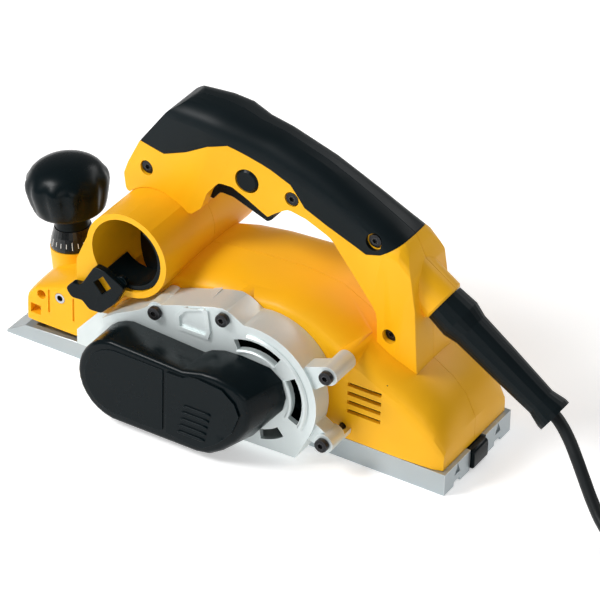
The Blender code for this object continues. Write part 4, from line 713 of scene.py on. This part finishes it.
for vert in knob.verts:
    radius = math.hypot(vert.co.x, vert.co.y)
    belt = eased(vert.co.z, 0.0130, 0.0170) * (1.0 - eased(vert.co.z, 0.0330, 0.0385))
    if radius > 0.0150 and belt > 0.0:
        flute = 0.5 + 0.5 * math.cos(math.atan2(vert.co.y, vert.co.x) * 12)
        drawn = 1.0 + 0.030 * belt - 0.055 * belt * flute ** 2
        vert.co.x *= drawn
        vert.co.y *= drawn
bmesh.ops.transform(knob, matrix=stood(KNOB_PLACE + KNOB_ALONG * KNOB_BASE, KNOB_ALONG), verts=knob.verts)
piece("fluted_knob", knob, BLACK, body="knob", stands_for=("depth_knob",), smooth=50)

# %% [markdown]
# ## Depth scale
# The collar under the knob carries a ring of fine lines, so that the depth can be read off. On the
# real tool they are printed. Here each is a thin bar laid on the sloping collar, and every fourth is
# longer. They are plain lines with no numbers, and turn with the knob.

# %% Depth scale marks
MARK_COUNT = 24
COLLAR_SLOPE = math.radians(-16)
marks = bmesh.new()
for number in range(MARK_COUNT):
    mark = bmesh.ops.create_cube(marks, size=1.0)["verts"]
    tall = 0.0050 if number % 4 == 0 else 0.0030
    bmesh.ops.scale(marks, vec=(0.0004, 0.0004, tall), verts=mark)
    lean = Matrix.Translation((0.0146, 0.0, 0.0045)) @ Matrix.Rotation(COLLAR_SLOPE, 4, "Y")
    turn = Matrix.Rotation(math.tau * number / MARK_COUNT, 4, "Z")
    bmesh.ops.transform(marks, matrix=turn @ lean, verts=mark)
bmesh.ops.transform(marks, matrix=stood(KNOB_PLACE, KNOB_ALONG), verts=marks.verts)
SCALE_WHITE = finish("scale_marks", (0.75, 0.77, 0.76), (0.66, 0.68, 0.67), (0.9, 0.9, 0.9), 0.4)
piece("depth_scale_marks", marks, SCALE_WHITE, body="knob")

# %% [markdown]
# ## The spindle spring
# The imported spring is a plain sleeve of the right size. A real one is a round wire wound on a helix,
# which a Screw modifier or a curve could make. Here a small circle is spun up the axis with a rise
# per turn, which the spin operator does in one call. On the real tool it shortens as the front sole
# is raised.


# %% Coil spring
def coil_spring(node, wire_radius, turns):
    """A round wire wound between the ends of a packed sleeve."""
    low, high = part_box(node)
    centre = (low + high) / 2
    mean_radius = (high.x - low.x) / 2 - wire_radius
    length = high.z - low.z - 2 * wire_radius
    bm = bmesh.new()
    ring = bmesh.ops.create_circle(bm, segments=8, radius=wire_radius)["verts"]
    bmesh.ops.rotate(bm, verts=ring, cent=(0, 0, 0), matrix=Matrix.Rotation(math.pi / 2, 3, "X"))
    bmesh.ops.translate(bm, verts=ring, vec=(mean_radius, 0, 0))
    steps = 20 * turns
    bmesh.ops.spin(
        bm, geom=list(bm.verts) + list(bm.edges), cent=(0, 0, 0), axis=(0, 0, 1), angle=math.tau * turns,
        steps=steps, dvec=(0, 0, length / steps))
    rims = [edge for edge in bm.edges if edge.is_boundary]
    bmesh.ops.holes_fill(bm, edges=rims)
    bmesh.ops.translate(bm, verts=bm.verts, vec=(centre.x, centre.y, low.z + wire_radius))
    return bm


spring = piece("wound_spindle_spring", coil_spring("spindle_spring", 0.0011, 6), STEEL,
               stands_for=("spindle_spring",))
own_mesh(spring)

# %% [markdown]
# ## The stage
# A product shot has a floor that fades to white. A very large grid with a pale, slightly glowing
# material does that without a backdrop.

# %% Floor
FLOOR_HALF = 4.0
floor_mesh = bmesh.new()
bmesh.ops.create_grid(floor_mesh, x_segments=1, y_segments=1, size=FLOOR_HALF)
floor_data = bpy.data.meshes.new("floor")
floor_mesh.to_mesh(floor_data)
floor_mesh.free()
floor = bpy.data.objects.new("floor", floor_data)
bpy.context.scene.collection.objects.link(floor)
floor_material = bpy.data.materials.new("pale_floor")
floor_material.use_nodes = True
floor_shader = floor_material.node_tree.nodes["Principled BSDF"]
floor_shader.inputs["Base Color"].default_value = (0.93, 0.93, 0.93, 1.0)
floor_shader.inputs["Roughness"].default_value = 0.75
floor_shader.inputs["Emission Color"].default_value = (1.0, 1.0, 1.0, 1.0)
floor_shader.inputs["Emission Strength"].default_value = 0.42
floor_data.materials.append(floor_material)
print("floor half width:", FLOOR_HALF)

# %% [markdown]
# ## The lamps
# Three area lamps light the tool: a key from the front left, a weak fill beside the camera and a rim
# lamp behind that draws the top edges. A large lamp gives soft highlights, as a studio's soft box
# does, and a pale world fills the shadows. The plain Standard view keeps the yellow as strong as it is.


# %% Lamps and world


def lamp(name, place, target, size, power, colour=(1.0, 1.0, 1.0)):
    data = bpy.data.lights.new(name, "AREA")
    data.shape = "RECTANGLE"
    data.size, data.size_y = size
    data.energy = power
    data.color = colour
    obj = bpy.data.objects.new(name, data)
    obj.location = place
    obj.rotation_euler = (Vector(target) - Vector(place)).to_track_quat("-Z", "Y").to_euler()
    bpy.context.scene.collection.objects.link(obj)
    return obj


lamp("key", (-0.9, -1.0, 1.25), (0.0, 0.0, 0.06), (0.6, 0.6), 25)
lamp("fill", (0.9, -1.5, 0.8), (0.0, 0.0, 0.06), (1.0, 0.8), 4)
lamp("rim", (0.5, 1.3, 1.1), (0.0, 0.0, 0.08), (1.4, 0.5), 8)
world = bpy.data.worlds.new("studio")
world.use_nodes = True
world.node_tree.nodes["Background"].inputs["Color"].default_value = (1.0, 1.0, 1.0, 1.0)
world.node_tree.nodes["Background"].inputs["Strength"].default_value = 0.24
bpy.context.scene.world = world
bpy.context.scene.view_settings.view_transform = "Standard"
